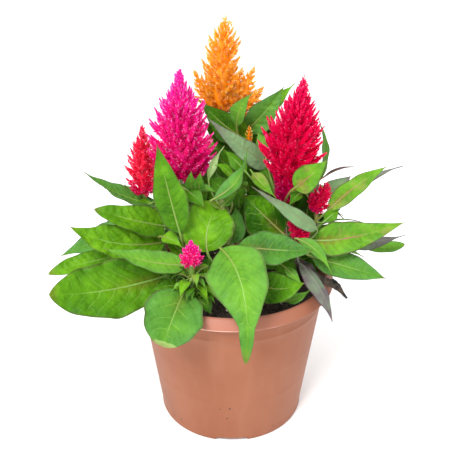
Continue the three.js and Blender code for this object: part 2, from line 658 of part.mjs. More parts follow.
function makeHead([foot, tip, radius, outline, rows, columns], random) {
  const axis = vector(tip).sub(vector(foot));
  const upright = new THREE.Quaternion().setFromUnitVectors(
    new THREE.Vector3(0, 0, 1), axis.clone().normalize(),
  );
  const geometry = headGeometry(axis.length(), radius, outline, rows, columns, random);
  return toSolid(geometry.applyQuaternion(upright).translate(...foot));
}

function makePlume(name, { colour, heads }) {
  const random = seededRandom(name.length * 97);
  const solid = join(heads.map((head) => makeHead(head, random)));
  return toMesh(name, solid, materials[colour]);
}

// ---------------------------------------------------------------- the withered leaf

// The dead leaf is shrivelled to a crumpled, twisted strip.
function makeWitheredLeaf() {
  const line = new THREE.CatmullRomCurve3(WITHERED_LINE.map(vector));
  const steps = 14;
  const rows = [];
  for (let i = 0; i <= steps; i += 1) {
    const s = i / steps;
    const point = line.getPoint(s);
    const along = line.getTangent(s);
    const side = new THREE.Vector3(0, 0, 1).cross(along).normalize();
    side.applyAxisAngle(along, 0.9 * Math.sin(9 * s) + 0.5);
    const normal = side.clone().cross(along);
    const swell = Math.sin(Math.PI * s ** 0.8) ** 1.2 * (0.8 + 0.25 * Math.sin(17 * s));
    const halfWidth = 1 + WITHERED_HALF_WIDTH * swell;
    const top = [-1, 0, 1].map((q) => point.clone()
      .addScaledVector(side, q * halfWidth)
      .addScaledVector(normal, Math.abs(q) * halfWidth * 0.7));
    const under = top.map((p) => p.clone().addScaledVector(normal, -WITHERED_THICKNESS));
    rows.push([...top, ...under]);
  }
  return toMesh('withered_leaf', toSolid(bladeGeometry(rows)), materials.dryLeaf);
}

// ---------------------------------------------------------------- the whole planting

const celosia = new THREE.Group();
celosia.add(makePot(), makeSoil());
for (const [name, shoot] of Object.entries(SHOOTS)) {
  celosia.add(makeShoot(name, shoot));
}
for (const [name, plume] of Object.entries(PLUMES)) {
  celosia.add(makePlume(name, plume));
}
celosia.add(makeWitheredLeaf());

export default celosia;
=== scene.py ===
# Plume celosia in its pot: the looks. Every CAD node is replaced by a finer piece that keeps its
# form: veined leaves on their stalks, plumes of small pointed tepals, crumbly soil, a smooth pot.
# Lengths are in millimetres, and those of the meshes in metres.
from collections import namedtuple
from math import atan2, cos, hypot, pi, radians, sin, sqrt, tau

import bpy
import numpy as np
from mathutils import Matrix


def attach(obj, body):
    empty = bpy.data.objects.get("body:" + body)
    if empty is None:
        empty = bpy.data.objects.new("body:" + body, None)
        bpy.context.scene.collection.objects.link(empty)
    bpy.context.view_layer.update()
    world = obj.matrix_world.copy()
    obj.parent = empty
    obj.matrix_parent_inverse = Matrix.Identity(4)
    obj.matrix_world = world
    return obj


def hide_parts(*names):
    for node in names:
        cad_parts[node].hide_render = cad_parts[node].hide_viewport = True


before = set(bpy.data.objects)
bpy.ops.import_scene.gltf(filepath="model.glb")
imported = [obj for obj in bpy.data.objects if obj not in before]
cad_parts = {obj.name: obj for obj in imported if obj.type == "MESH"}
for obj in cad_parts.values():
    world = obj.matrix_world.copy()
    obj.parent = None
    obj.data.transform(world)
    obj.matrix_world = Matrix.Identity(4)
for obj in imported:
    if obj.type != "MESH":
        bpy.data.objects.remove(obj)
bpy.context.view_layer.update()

MM = 0.001
GOLDEN_ANGLE = pi * (3 - sqrt(5))

# ---- dimensions, as in the solids

POT_HEIGHT = 140
RIM_RADIUS = 90
RIM_INSIDE = 82.2
BASE_RADIUS = 65.7
WALL = 1.8
LIP_HEIGHT = 10
FOOT_HEIGHT = 4
FOOT_RING_WIDTH = 5
NOTCH_WIDTH = 30
NOTCH_COUNT = 3
DRAIN_RADIUS = 5
DRAIN_PLACE = 44
DRAIN_COUNT = 5
CORNER_RADIUS = BASE_RADIUS - WALL + 0.4
INNER_FLOOR = FOOT_HEIGHT + WALL

SOIL_LEVEL = 122
SOIL_BUMP = 1.6
SOIL_RADIUS = 78.6
SOIL_FLOOR = 6.4
SINK_RADIUS = 70
SINK_WIDTH = 8
SINK_DEPTH = 1.2
CRUMB_COUNT = 2600
STEM_FOOT = 100
STEM_RADIUS = 3.2
SIDE_SHOOT_RADIUS = 2.1

BLADE_THICKNESS = 0.5
STALK_RADIUS = 1.15
STALK_HALF_WIDTH = 1.1
TIP_HALF_WIDTH = 0.2
STALK_RISE = 0.8
VEE_ANGLE = radians(14)
WAVE_SHARE = 0.035

CORE_SHARE = 0.62
SPRAY_LEAN = 0.9
CROWN_LEAN = 0.4
LOBE_SHARE = 0.12
FULLER = 0.07

# ---- the plants

UP = (0, 0, 1)
TILTED = (0, -0.6, 0.8)
FRONT = (0, -0.8, 0.6)
TURNED_OVER = (0, 0.7, -0.7)

# Where a blade is widest, and how drawn out its tip is.
OUTLINES = {
    "ovate": (0.37, 1.25),
    "lance": (0.36, 2.0),
    "round": (0.46, 0.62),
    "drop": (0.26, 1.3),
    "blunt": (0.45, 0.7),
    "egg": (0.3, 0.75),
}

# How light a blade is, how blue, how red its midrib is, and how mauve its rim and underside are.
LOOKS = {
    "fresh": (0.78, 0.1, 0, 0),
    "light": (0.85, 0.6, 0, 0),
    "pale": (1, 0.55, 0.1, 0.1),
    "deep": (0.3, 0.15, 0, 0),
    "dull": (0.45, 0.75, 0.1, 0.15),
    "pink": (0.62, 0.1, 0.45, 0),
    "blue": (0.4, 0.6, 0.3, 0),
    # The darkest look, for small leaves deep inside: their deep green darkened further as painted shade.
    "dark": (0, 0, 0.35, 0.2),
    "bronze": (0.75, 0.3, 1, 0.6),
    "mauve": (0.5, 0.6, 0.6, 1),
    "sage": (0.6, 0.8, 0.2, 0.4),
    "cream": (2.2, 0.6, 0, 0),
    "brown": (0.1, 0, 1, 1.6),
}

# How pale and how brown the tips of some leaves are, and how broad a tail they end in, by the
# tip's place.
TIPS = {
    (-53, -104, 127.5): (1, 0, 0),
    (-58, -34, 266): (0, 1, 0),
    (10, -118, 122): (0, 0, 14.5),
}

# The branches of each shoot, by three points each; the first is the stem.
BRANCHES = {
    "coral": [[(-56, 12, STEM_FOOT), (-65, 12, 165), (-75, 10, 207)]],
    "magenta": [[(-38, 8, STEM_FOOT), (-39, 4, 170), (-41, 0, 226)]],
    "front": [[(-31, -48, STEM_FOOT), (-31, -52, 155), (-32, -58, 175)]],
    "centre": [[(2, -14, STEM_FOOT), (0, -18, 165), (-8, -18, 214)]],
    "orange": [
        [(-5, 44, STEM_FOOT), (-6, 46, 200), (-11, 40, 268)],
        [(-5, 45, 205), (10, 30, 225), (15, 22, 244)],
    ],
    "crimson": [
        [(46, 8, STEM_FOOT), (46, 4, 160), (44, 0, 203)],
        [(46, 5, 160), (62, -2, 180), (71, -10, 198)],
        [(46, 5, 150), (52, -14, 166), (56, -26, 182)],
    ],
}

# The leaves of each shoot: the midrib's base, middle and tip, the greatest width, the way the blade
# faces, its look, its outline where it isn't ovate, and its twist in degrees. The last rows of most
# shoots are small leaves deep inside.
Leaf = namedtuple("Leaf", "base middle tip width face look outline twist", defaults=("ovate", 0))
LEAVES = {}
LEAVES["coral"] = [
    [(-64, 6, 199), (-94, 0, 210), (-122, -6, 233), 21, (0, -0.25, 1), "dull"],
    [(-58, -6, 183), (-84, -20, 196), (-113, -22, 206), 28, TILTED, "fresh", "egg"],
    [(-81, 14, 178), (-116, 6, 165), (-150, -4, 153), 24, (0.2, -0.5, 0.85), "dull"],
    [(-68, 3, 201), (-76, 1, 201), (-85, -2, 206), 9, TILTED, "fresh", "lance"],
    [(-79, 14, 205), (-86, 12, 209), (-92, 10, 215), 7, TILTED, "light", "lance"],
    [(-72, 20, 168), (-96, 38, 174), (-122, 54, 152), 28, UP, "deep"],
    [(-68, 22, 146), (-90, 52, 146), (-108, 80, 122), 28, UP, "fresh"],
]
LEAVES["magenta"] = [
    [(-57, -14, 172), (-96, -30, 179), (-131, -36, 197), 34, (0, -0.7, 0.7), "fresh"],
    [(-70, -10, 160), (-113, -24, 160), (-152, -40, 155), 21, TILTED, "fresh", "blunt"],
    [(-41.5, -45, 195.4), (-49.6, -42, 229.7), (-58, -34, 266), 26, (0.1, -1, 0.3), "deep"],
    [(-42, -16, 224), (-33, -22, 220), (-22, -30, 211), 19, (0.3, -0.8, 0.5), "deep"],
    [(-30, -16, 222), (-20, -20, 223), (-12, -22, 220), 8, (0.1, -0.4, 0.9), "pale", "lance"],
    [(-57, -34, 187), (-48, -42, 188), (-40, -46, 183), 13, (0.2, -0.7, 0.7), "fresh", "lance"],
    [(-44, 16, 172), (-66, 46, 180), (-86, 78, 164), 30, UP, "fresh"],
    [(-40, 18, 150), (-66, 58, 152), (-92, 92, 128), 32, UP, "deep"],
    [(-36, 12, 205), (-33, 30, 212), (-28, 46, 205), 18, UP, "fresh"],
    [(-32, -18, 222), (-33, -27, 232), (-32, -33, 243), 10, FRONT, "pale"],
    [(-27, -18, 221), (-26, -27, 231), (-25, -32, 242), 10, FRONT, "pale"],
    [(-39, 10, 187.3), (-30, 13, 207.7), (-20, 15, 231), 24, FRONT, "deep"],
    [(-35, 14, 178), (-24, 12, 202), (-13, 16, 228), 19, FRONT, "deep"],
]
LEAVES["front"] = [
    [(-39, -52, 170), (-70, -60, 179), (-99, -66, 193), 22, (0, -0.5, 0.87), "light", "drop"],
    [(-56, -42, 154), (-102, -63, 153), (-142, -79, 159), 48, FRONT, "pink", "blunt"],
    [(-38, -66, 153), (-46, -91, 144), (-53, -104, 127.5), 47, FRONT, "blue", "round"],
    [(-33, -58, 145), (-23, -64, 142), (-17, -70, 135), 16, (0.3, -0.7, 0.7), "deep"],
    [(-41, -50, 150), (-53, -54, 152), (-67, -58, 149), 12, (0, -0.7, 0.7), "fresh", "lance"],
    [(-48, -26, 142), (-80, -34, 148), (-112, -46, 138), 28, UP, "deep"],
    [(-35, -36, 163), (-44, -32, 174), (-56, -34, 184), 16, FRONT, "fresh"],
    [(-26, -38, 150), (-20, -37, 161), (-20, -31, 172), 13, FRONT, "deep"],
    [(-38, -44, 158), (-47, -48, 163), (-60, -50, 166), 14, FRONT, "fresh"],
]
LEAVES["centre"] = [
    [(-20, -42, 177), (-19.5, -33, 195), (-11, -13, 208), 43.5, (0.1, -0.8, 0.6), "fresh", "round"],
    [(-8, -22, 209), (-2, -20, 214), (5, -16, 219), 10, (-0.2, -0.6, 0.8), "pale", "lance"],
    [(-16, -28, 217), (5, -24, 234), (12, -14, 257), 16, (-0.5, -0.8, 0.3), "dull", "lance", -50],
    [(-19, -12, 228), (-15, -11, 242), (-6, -6, 255), 8, (0.6, -0.75, 0.3), "cream", "lance"],
    [(-3, -22, 175), (2.7, -17, 188.4), (3, -10, 202.7), 20, (0.4, -0.9, 0.4), "blue"],
    [(1, -10, 227), (-6, -12, 238), (-14, -13, 241), 9, (-0.2, -0.5, 0.85), "fresh", "lance"],
    [(-9, -46, 182), (8, -90, 169), (10, -118, 122), 48, (-0.3, -0.5, 0.8), "light", "lance"],
    [(5, -38, 180), (35, -52, 184), (64, -58, 186), 29, (0, -0.7, 0.7), "blue"],
    [(20, -50, 152), (38, -62, 154), (57, -68, 163), 28, (0, -0.75, 0.65), "deep"],
    [(44, -58, 140), (54, -60, 145), (63, -60, 152), 9, (0, -0.7, 0.7), "light", "lance"],
    [(42, -46, 166), (50, -53, 161), (56, -58, 156), 8, (0, -0.7, 0.7), "pale", "lance"],
    [(26, -30, 160), (30, -36, 163), (38, -42, 160), 14, (0, -0.7, 0.7), "deep"],
    [(0, -6, 206), (-8, -6, 218), (-22, -8, 228), 20, FRONT, "deep"],
    [(39, -30, 161), (47, -36, 155), (57, -40, 144), 18, FRONT, "deep"],
    [(9, -6, 190), (6, -4, 204), (12, 0, 217), 18, FRONT, "deep"],
    [(7, -6, 170), (12, -8, 192), (14, -4, 219), 15, FRONT, "dark"],
]
LEAVES["orange"] = [
    [(7, 30, 252), (-9, 26, 265), (-30, 30, 286), 26, (-0.2, -0.85, 0.5), "deep", "lance"],
    [(4, 22, 262), (7, 16, 280), (17, 12, 294), 15, (-0.3, -0.9, 0.3), "light", "lance"],
    [(13, 32, 256), (27, 30, 271.5), (44, 36, 293), 24, (0.2, -0.9, 0.4), "dull"],
    [(26, 42, 267), (40, 48, 279), (55, 56, 291), 13, (0.2, -0.7, 0.7), "fresh", "lance"],
    [(-4, 54, 245), (-2, 76, 255), (2, 98, 240), 24, UP, "fresh"],
    [(4, 52, 225), (28, 74, 232), (52, 92, 215), 28, UP, "deep"],
    [(-12, 52, 222), (-34, 74, 228), (-58, 92, 212), 28, UP, "fresh"],
    [(-4, 56, 195), (-10, 90, 202), (-14, 118, 178), 34, UP, "light"],
    [(6, 54, 185), (38, 84, 188), (70, 110, 165), 34, UP, "fresh"],
    [(-14, 52, 182), (-46, 84, 186), (-76, 108, 162), 32, UP, "deep"],
    [(-4, 56, 160), (14, 90, 162), (27, 119, 134), 32, UP, "fresh"],
    [(-8, 56, 158), (-30, 91, 160), (-45, 119, 132), 32, UP, "blue"],
    [(6, 36, 235), (-7, 32, 247), (-25, 32, 265), 22, FRONT, "deep"],
    [(18, 32, 237), (22, 28, 246), (27, 26, 257), 13, FRONT, "deep"],
    [(4, 28, 216), (-7, 22, 231), (-21, 24, 241), 24, FRONT, "deep"],
    [(7, 28, 212), (14, 24, 227), (22, 22, 242), 20, FRONT, "deep"],
    [(6, 34, 240), (9, 31, 253), (12, 30, 266), 12, FRONT, "fresh"],
    [(19, 42, 233), (15, 40, 254), (7, 44, 276), 22, FRONT, "deep"],
    [(27, 46, 232), (32, 46, 245), (35, 48, 264), 18, FRONT, "deep"],
]
LEAVES["crimson"] = [
    [(31, 10, 232), (7, 4, 252), (-21, 2, 277), 19, (-0.3, 0.85, -0.3), "sage", "drop"],
    [(28, 12, 243), (26, 17, 250), (22, 23, 257), 13, (-0.3, -0.8, 0.5), "pale"],
    [(12, 0, 230), (3, 4, 239), (-7, 8, 247), 14, (-0.3, -0.8, 0.6), "deep", "lance"],
    [(17, -6, 232), (25, -14, 225), (36, -22, 216), 13, (0.2, -0.7, 0.7), "bronze", "lance"],
    [(36, 3, 211), (30, 8, 225), (21, 10, 237), 16, (-0.4, -0.6, 0.6), "deep"],
    [(75, 14, 215), (78.5, 15, 244), (71.5, 14, 272), 12, (0.75, -0.6, 0.3), "mauve", "lance"],
    [(51, -20, 224), (62, -25, 236), (75, -24, 249), 22, (0.2, -0.7, 0.7), "bronze"],
    [(77, 6, 223), (91, 8, 230), (104, 10, 231), 6, (0, 0.1, 1), "brown", "lance"],
    [(80, -14, 201), (102, -10, 221), (127, -6, 237), 17, (0, -0.75, 0.66), "bronze"],
    [(96, 2, 208), (119, 6, 223), (146, 10, 232), 7, TURNED_OVER, "mauve", "lance"],
    [(80, 4, 207), (91, 8, 214), (102, 14, 221), 17, (0, 0.8, -0.5), "sage"],
    [(69, -30, 192), (46, -38, 211), (15, -42, 234), 14, (0.3, 0.6, -0.75), "sage", "drop"],
    [(68, -20, 187), (89, -14, 193), (113, -8, 187), 5, (0, 0.3, 1), "bronze", "lance"],
    [(76, -4, 199), (85, -2, 197), (96, 0, 190), 4, (0, 0.3, 1), "bronze", "lance"],
    [(42, -26, 186), (25, -20, 201), (9, -10, 214), 38, (-0.1, -0.9, 0.4), "dark"],
    [(57, -13, 217), (52, -18, 215), (46, -24, 209), 11, (-0.2, -0.7, 0.7), "deep", "lance"],
    [(77, -18, 193), (84, -16, 199), (91, -12, 202), 11, (0.2, -0.8, 0.6), "fresh", "lance"],
    [(53, -36, 186), (69, -46, 179), (80, -56, 164), 11, (0.3, -0.8, 0.5), "light", "lance"],
    [(68, -22, 178), (98, -28, 183), (141, -30, 198), 29, FRONT, "bronze"],
    [(98, -10, 166), (123, -10, 170), (149, -8, 175.5), 12, TURNED_OVER, "mauve", "lance"],
    [(106, 2, 162), (135, 2, 159), (152, 2, 162), 12, TILTED, "pale", "blunt"],
    [(68, -26, 164), (96, -34, 159), (128, -40, 151), 28, (0, -0.65, 0.75), "dull"],
    [(56, -36, 163), (71.5, -56, 149.5), (81, -68, 127), 17, (-0.55, 0.7, -0.2), "mauve"],
    [(54, 14, 196), (76, 38, 202), (98, 60, 182), 28, UP, "bronze"],
    [(50, 18, 162), (80, 52, 162), (110, 82, 136), 32, UP, "deep"],
    [(44, 20, 150), (54, 66, 152), (62, 106, 128), 32, UP, "bronze"],
    [(54, 8, 140), (88, 24, 146), (126, 38, 130), 26, UP, "fresh"],
    [(46, 12, 205), (50, 34, 214), (58, 54, 206), 22, UP, "bronze"],
    [(50, 4, 195), (58, 3, 207), (72, 2, 219), 18, FRONT, "dark"],
    [(58, 2, 172), (69, 4, 182), (86, 4, 191), 14, FRONT, "dark"],
    [(58, 8, 146), (68, 4, 142), (78, -2, 133), 12, FRONT, "dark"],
    [(42, 10, 192), (29, 12, 202), (10, 12, 213), 25, FRONT, "dark"],
    [(62, -2, 183), (65, 0, 197), (66, 3, 211), 12, FRONT, "dark"],
    [(27, 20, 191), (21, 18, 212), (19, 22, 235), 17, FRONT, "dark"],
    [(56, 2, 172), (58, 0, 187), (61, 4, 205), 12, FRONT, "dark"],
    [(60, -14, 168), (68, -16, 181), (82, -14, 189), 10, FRONT, "bronze"],
    [(79, -8, 203), (87, -8, 198), (95, -8, 191), 5, UP, "bronze", "lance"],
]

# Rings of small leaves: the middle, the count, the length, the width and the look.
ROSETTES = {
    "front": [
        [(-32, -56, 160), 9, 17, 10, "fresh"],
        [(-31, -60, 168), 8, 11, 7.5, "bronze"],
        [(-29, -60, 156), 9, 13, 8, "deep"],
        [(-33, -62, 162), 7, 9, 6, "pale"],
    ],
}

# How far a head's sprays reach at each level, as shares of its length and of its radius.
HEAD_OUTLINES = {
    "cone": [(0, 0.5), (0.1, 0.9), (0.22, 1), (0.5, 0.88), (0.68, 0.6), (0.8, 0.29), (0.9, 0.08),
             (1, 0.02)],
    "necked": [(0, 0.22), (0.2, 0.38), (0.32, 0.8), (0.45, 1), (0.62, 0.83), (0.78, 0.42),
               (0.9, 0.09), (1, 0.02)],
    "bud": [(0, 0.6), (0.15, 0.95), (0.3, 1), (0.5, 0.78), (0.65, 0.5), (0.8, 0.18), (0.9, 0.05),
            (1, 0.02)],
    "column": [(0, 0.45), (0.12, 0.9), (0.45, 1), (0.7, 0.9), (0.82, 0.66), (0.9, 0.26), (1, 0.03)],
}

# A plume's heads: the foot and the tip of the axis, the radius, the outline, the rows and the
# columns of its side sprays.
PLUMES = {
    "plume_orange": ("orange", [
        [(-11, 40, 268.3), (-5, 40, 351), 14, "column", 15, 8],
        [(-14, 40, 272), (-32, 38, 307), 9, "cone", 8, 5],
        [(-1, 38, 277), (9, 37, 309), 8, "cone", 7, 5],
        [(3, 40, 274), (19.5, 42, 309), 9, "cone", 8, 5],
        [(8, 38, 272), (27, 39, 292), 8, "cone", 6, 5],
        [(-6, 46, 276), (-10, 57, 304), 9, "cone", 7, 5],
    ]),
    "plume_magenta": ("magenta", [[(-41, 0, 226.3), (-41.5, 0, 318), 23.5, "cone", 17, 12]]),
    "plume_coral": ("coral", [[(-75, 10, 207.3), (-74, 10, 269), 12, "cone", 13, 8]]),
    "plume_crimson": ("crimson", [[(44, 0, 203.3), (57, 0, 312), 23, "necked", 19, 12]]),
    "plume_front": ("magenta", [[(-32, -58, 175.3), (-32, -60, 196), 8, "bud", 7, 8]]),
    "side_plume_orange": ("orange", [[(15, 22, 244.3), (14.5, 20, 264), 2.4, "column", 7, 5]]),
    "side_plume_right": ("crimson", [
        [(71, -10, 198.3), (79, -10, 225), 6, "column", 8, 6],
        [(70, -10, 201), (66, -12, 216), 4, "cone", 5, 5],
    ]),
    "side_plume_low": ("crimson", [
        [(56, -26, 182.3), (55, -28, 203), 7, "cone", 7, 7],
        [(56, -27, 186), (64, -32, 192), 4, "cone", 5, 5],
        [(56, -27, 186), (46, -30, 198), 4, "cone", 5, 5],
    ]),
}

# The radius that a head stays under, and the length and the pitch of its tepals.
TEPAL_SIZES = [(3, 1.6, 0.2), (10, 3.0, 0.27), (15, 3.5, 0.31), (30, 4.0, 0.34)]

# The tepals' colours at the root, further out, at the brightest and of the painted glints on the
# rarer tepals' tips, those of the crown and the foot of a plume, and how rare the glints are.
TEPAL_COLOURS = {
    "orange": [(250, 152, 10), (255, 202, 50), (255, 224, 100), (255, 248, 196),
               (255, 192, 50), (244, 146, 20), 0.7],
    "magenta": [(234, 6, 118), (255, 32, 164), (255, 104, 212), (255, 190, 240),
                (255, 50, 206), (232, 10, 128), 0.78],
    "coral": [(240, 16, 66), (255, 50, 104), (255, 104, 152), (255, 180, 214),
              (250, 60, 110), (246, 34, 140), 0.78],
    "crimson": [(218, 0, 66), (247, 0, 93), (255, 32, 126), (255, 130, 196),
                (244, 10, 108), (234, 0, 134), 0.86],
}

WITHERED_LINE = [
    (50.2, 2, 140), (58, -12, 149), (68, -22, 150), (78, -28, 145.2), (87, -31, 139.7), (98, -35, 129),
]

# ---- meshes


def unit(vectors):
    """The vectors at length 1."""
    vectors = np.asarray(vectors, float)
    return vectors / np.maximum(np.linalg.norm(vectors, axis=-1, keepdims=True), 1e-9)


class Shape:
    """Points in millimetres, faces, and values at the points, gathered into one mesh."""

    def __init__(self):
        self.points, self.faces, self.values, self.count = [], [], {}, 0

    def add(self, points, faces, **values):
        points = np.asarray(points, float).reshape(-1, 3)
        self.points.append(points)
        self.faces += [tuple(face) for face in (np.asarray(faces) + self.count).tolist()]
        for name, value in values.items():
            value = np.broadcast_to(np.asarray(value, float), (len(points), 3))
            self.values.setdefault(name, []).append(value)
        self.count += len(points)

    def add_rings(self, rings, ends, flipped=False, **values):
        """Rings joined into a surface, and closed round a middle point at either end."""
        rings = np.asarray(rings, float)
        rows, columns = rings.shape[:2]
        quads = grid_faces(rows, columns, around=True)
        first = self.count
        self.add(np.vstack([rings.reshape(-1, 3), ends]), quads[:, ::-1] if flipped else quads, **values)
        last = self.count - 2 - columns
        for j in range(columns):
            after = (j + 1) % columns
            fans = [(first + after, first + j, self.count - 2), (last + j, last + after, self.count - 1)]
            self.faces += [fan[::-1] if flipped else fan for fan in fans]

    def add_sheet(self, top, under, **values):
        """A thin sheet between two grids of points, closed along its edge."""
        rows, columns = top.shape[:2]
        quads = grid_faces(rows, columns)
        faces = [quads, quads[:, ::-1] + rows * columns, rim_faces(rows, columns)]
        self.add([top, under], np.vstack(faces), **values)

    def object(self, name):
        """The gathered mesh as an object of the scene."""
        mesh = bpy.data.meshes.new(name)
        mesh.from_pydata((np.concatenate(self.points) * MM).tolist(), [], self.faces)
        made = bpy.data.objects.new(name, mesh)
        bpy.context.scene.collection.objects.link(made)
        return made

    def piece(self, name, material, slot, *nodes, sharp=radians(50)):
        """Makes the mesh a piece that rides on the root and replaces the CAD nodes."""
        made = self.object(name)
        for key, parts in self.values.items():
            attribute = made.data.attributes.new(key, "FLOAT_VECTOR", "POINT")
            attribute.data.foreach_set("vector", np.concatenate(parts).ravel())
        made.data.shade_smooth()
        made.data.set_sharp_from_angle(angle=sharp)
        made.data.materials.append(material)
        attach(made, "root")
        if nodes:
            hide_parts(*nodes)
        return made


def grid_faces(rows, columns, around=False):
    """Quads over a grid of points; around joins the last column to the first."""
    i, j = np.meshgrid(np.arange(rows - 1), np.arange(columns - (not around)), indexing="ij")
    right = (j + 1) % columns
    corners = [i * columns + j, i * columns + right, (i + 1) * columns + right, (i + 1) * columns + j]
    return np.stack(corners, -1).reshape(-1, 4)


def spline(points, t):
    """Points at t from 0 to 1 along a centripetal Catmull-Rom curve."""
    points = np.asarray(points, float)
    points = np.vstack([2 * points[0] - points[1], points, 2 * points[-1] - points[-2]])
    t = np.asarray(t, float) * (len(points) - 3)
    k = np.clip(t.astype(int), 0, len(points) - 4)
    w = (t - k)[:, None]
    p0, p1, p2, p3 = (points[k + n] for n in range(4))
    d0, d1, d2 = (np.linalg.norm(b - a, axis=1, keepdims=True) ** 0.5
                  for a, b in ((p0, p1), (p1, p2), (p2, p3)))
    m1 = ((p1 - p0) / d0 - (p2 - p0) / (d0 + d1) + (p2 - p1) / d1) * d1
    m2 = ((p2 - p1) / d1 - (p3 - p1) / (d1 + d2) + (p3 - p2) / d2) * d1
    return ((2 * w**3 - 3 * w**2 + 1) * p1 + (w**3 - 2 * w**2 + w) * m1
            + (3 * w**2 - 2 * w**3) * p2 + (w**3 - w**2) * m2)


def curve(start, bend, end, t):
    """Points at t from 0 to 1 along a curve that a bend pulls aside, and its directions there."""
    points = (1 - t) ** 2 * start + 2 * t * (1 - t) * bend + t**2 * end
    return points, unit((1 - t) * (bend - start) + t * (end - bend))


def tube(shape, line, radii, sides, ribs=0.0, **values):
    """A round tube along a line, closed at both ends."""
    line, radii = np.asarray(line, float), np.asarray(radii, float)
    along = unit(np.gradient(line, axis=0))
    start = (0, 0, 1) if abs(along[0][2]) < 0.8 else (1, 0, 0)
    side = [unit(np.cross(along[0], start))]
    for direction in along[1:]:
        side.append(unit(side[-1] - direction * (side[-1] @ direction)))
    side = np.array(side)
    other = np.cross(along, side)
    turn = tau * np.arange(sides) / sides
    reach = radii[:, None] * (1 + ribs * np.cos(5 * turn))
    ring = (line[:, None]
            + side[:, None] * (reach * np.cos(turn))[..., None]
            + other[:, None] * (reach * np.sin(turn))[..., None])
    shape.add_rings(ring, [line[0], line[-1]], **values)


# ---- materials


def colour(*channels):
    """A screen colour from 0 to 255 as the linear colour that a shader takes."""
    return (*(c / 255 / 12.92 if c <= 10 else ((c / 255 + 0.055) / 1.055) ** 2.4 for c in channels), 1)


class Material:
    """A material whose nodes are added by short calls."""

    def __init__(self, name, **settings):
        self.made = bpy.data.materials.new(name)
        self.made.use_nodes = True
        self.tree = self.made.node_tree
        self.shader = self.tree.nodes["Principled BSDF"]
        for key, value in settings.items():
            self.shader.inputs[key.replace("_", " ")].default_value = value

    def node(self, kind, inputs=(), **settings):
        made = self.tree.nodes.new("ShaderNode" + kind)
        for key, value in settings.items():
            setattr(made, key, value)
        for key, value in dict(inputs).items():
            if isinstance(value, bpy.types.NodeSocket):
                self.tree.links.new(value, made.inputs[key])
            else:
                made.inputs[key].default_value = value
        return made

    def math(self, operation, a, b=0.0, c=0.0):
        return self.node("Math", {0: a, 1: b, 2: c}, operation=operation).outputs[0]

    def times(self, value, *others):
        """The product of all the values."""
        for other in others:
            value = self.math("MULTIPLY", value, other)
        return value

    def scaled(self, value, factor, more):
        """The value times the factor, and more added to it."""
        return self.math("MULTIPLY_ADD", value, factor, more)

    def steps(self, value, low, high):
        """0 below low, 1 above high, and smooth between; low may be the greater."""
        inputs = {"Value": value, "From Min": low, "From Max": high}
        return self.node("MapRange", inputs, interpolation_type="SMOOTHSTEP").outputs[0]

    def mix(self, share, a, b):
        """From a to b by the share; a colour may be given as three numbers up to 255."""
        a, b = (colour(*c) if isinstance(c, tuple) else c for c in (a, b))
        return self.node("Mix", {0: share, 6: a, 7: b}, data_type="RGBA").outputs[2]

    def noise(self, scale, detail=3.0, roughness=0.5, vector=None):
        inputs = {"Vector": vector or self.place(), "Scale": scale}
        inputs |= {"Detail": detail, "Roughness": roughness}
        return self.node("TexNoise", inputs).outputs[0]

    def place(self):
        return self.node("TexCoord").outputs["Object"]

    def values(self, name):
        """The three parts of a value that the mesh holds at its points."""
        read = self.node("Attribute", attribute_name=name)
        return self.node("SeparateXYZ", {0: read.outputs["Vector"]}).outputs

    def bump(self, height, strength, distance):
        inputs = {"Height": height, "Strength": strength, "Distance": distance * MM}
        made = self.node("Bump", inputs).outputs[0]
        self.tree.links.new(made, self.shader.inputs["Normal"])

    def finish(self, skin, glow=0.0):
        """The material with its colour, and a share of the light let through where it is thin."""
        self.tree.links.new(skin, self.shader.inputs["Base Color"])
        if glow:
            through = self.node("BsdfTranslucent", {"Color": skin})
            both = self.node("MixShader", {0: glow, 1: self.shader.outputs[0], 2: through.outputs[0]})
            self.tree.links.new(both.outputs[0], self.tree.nodes["Material Output"].inputs["Surface"])
        return self.made


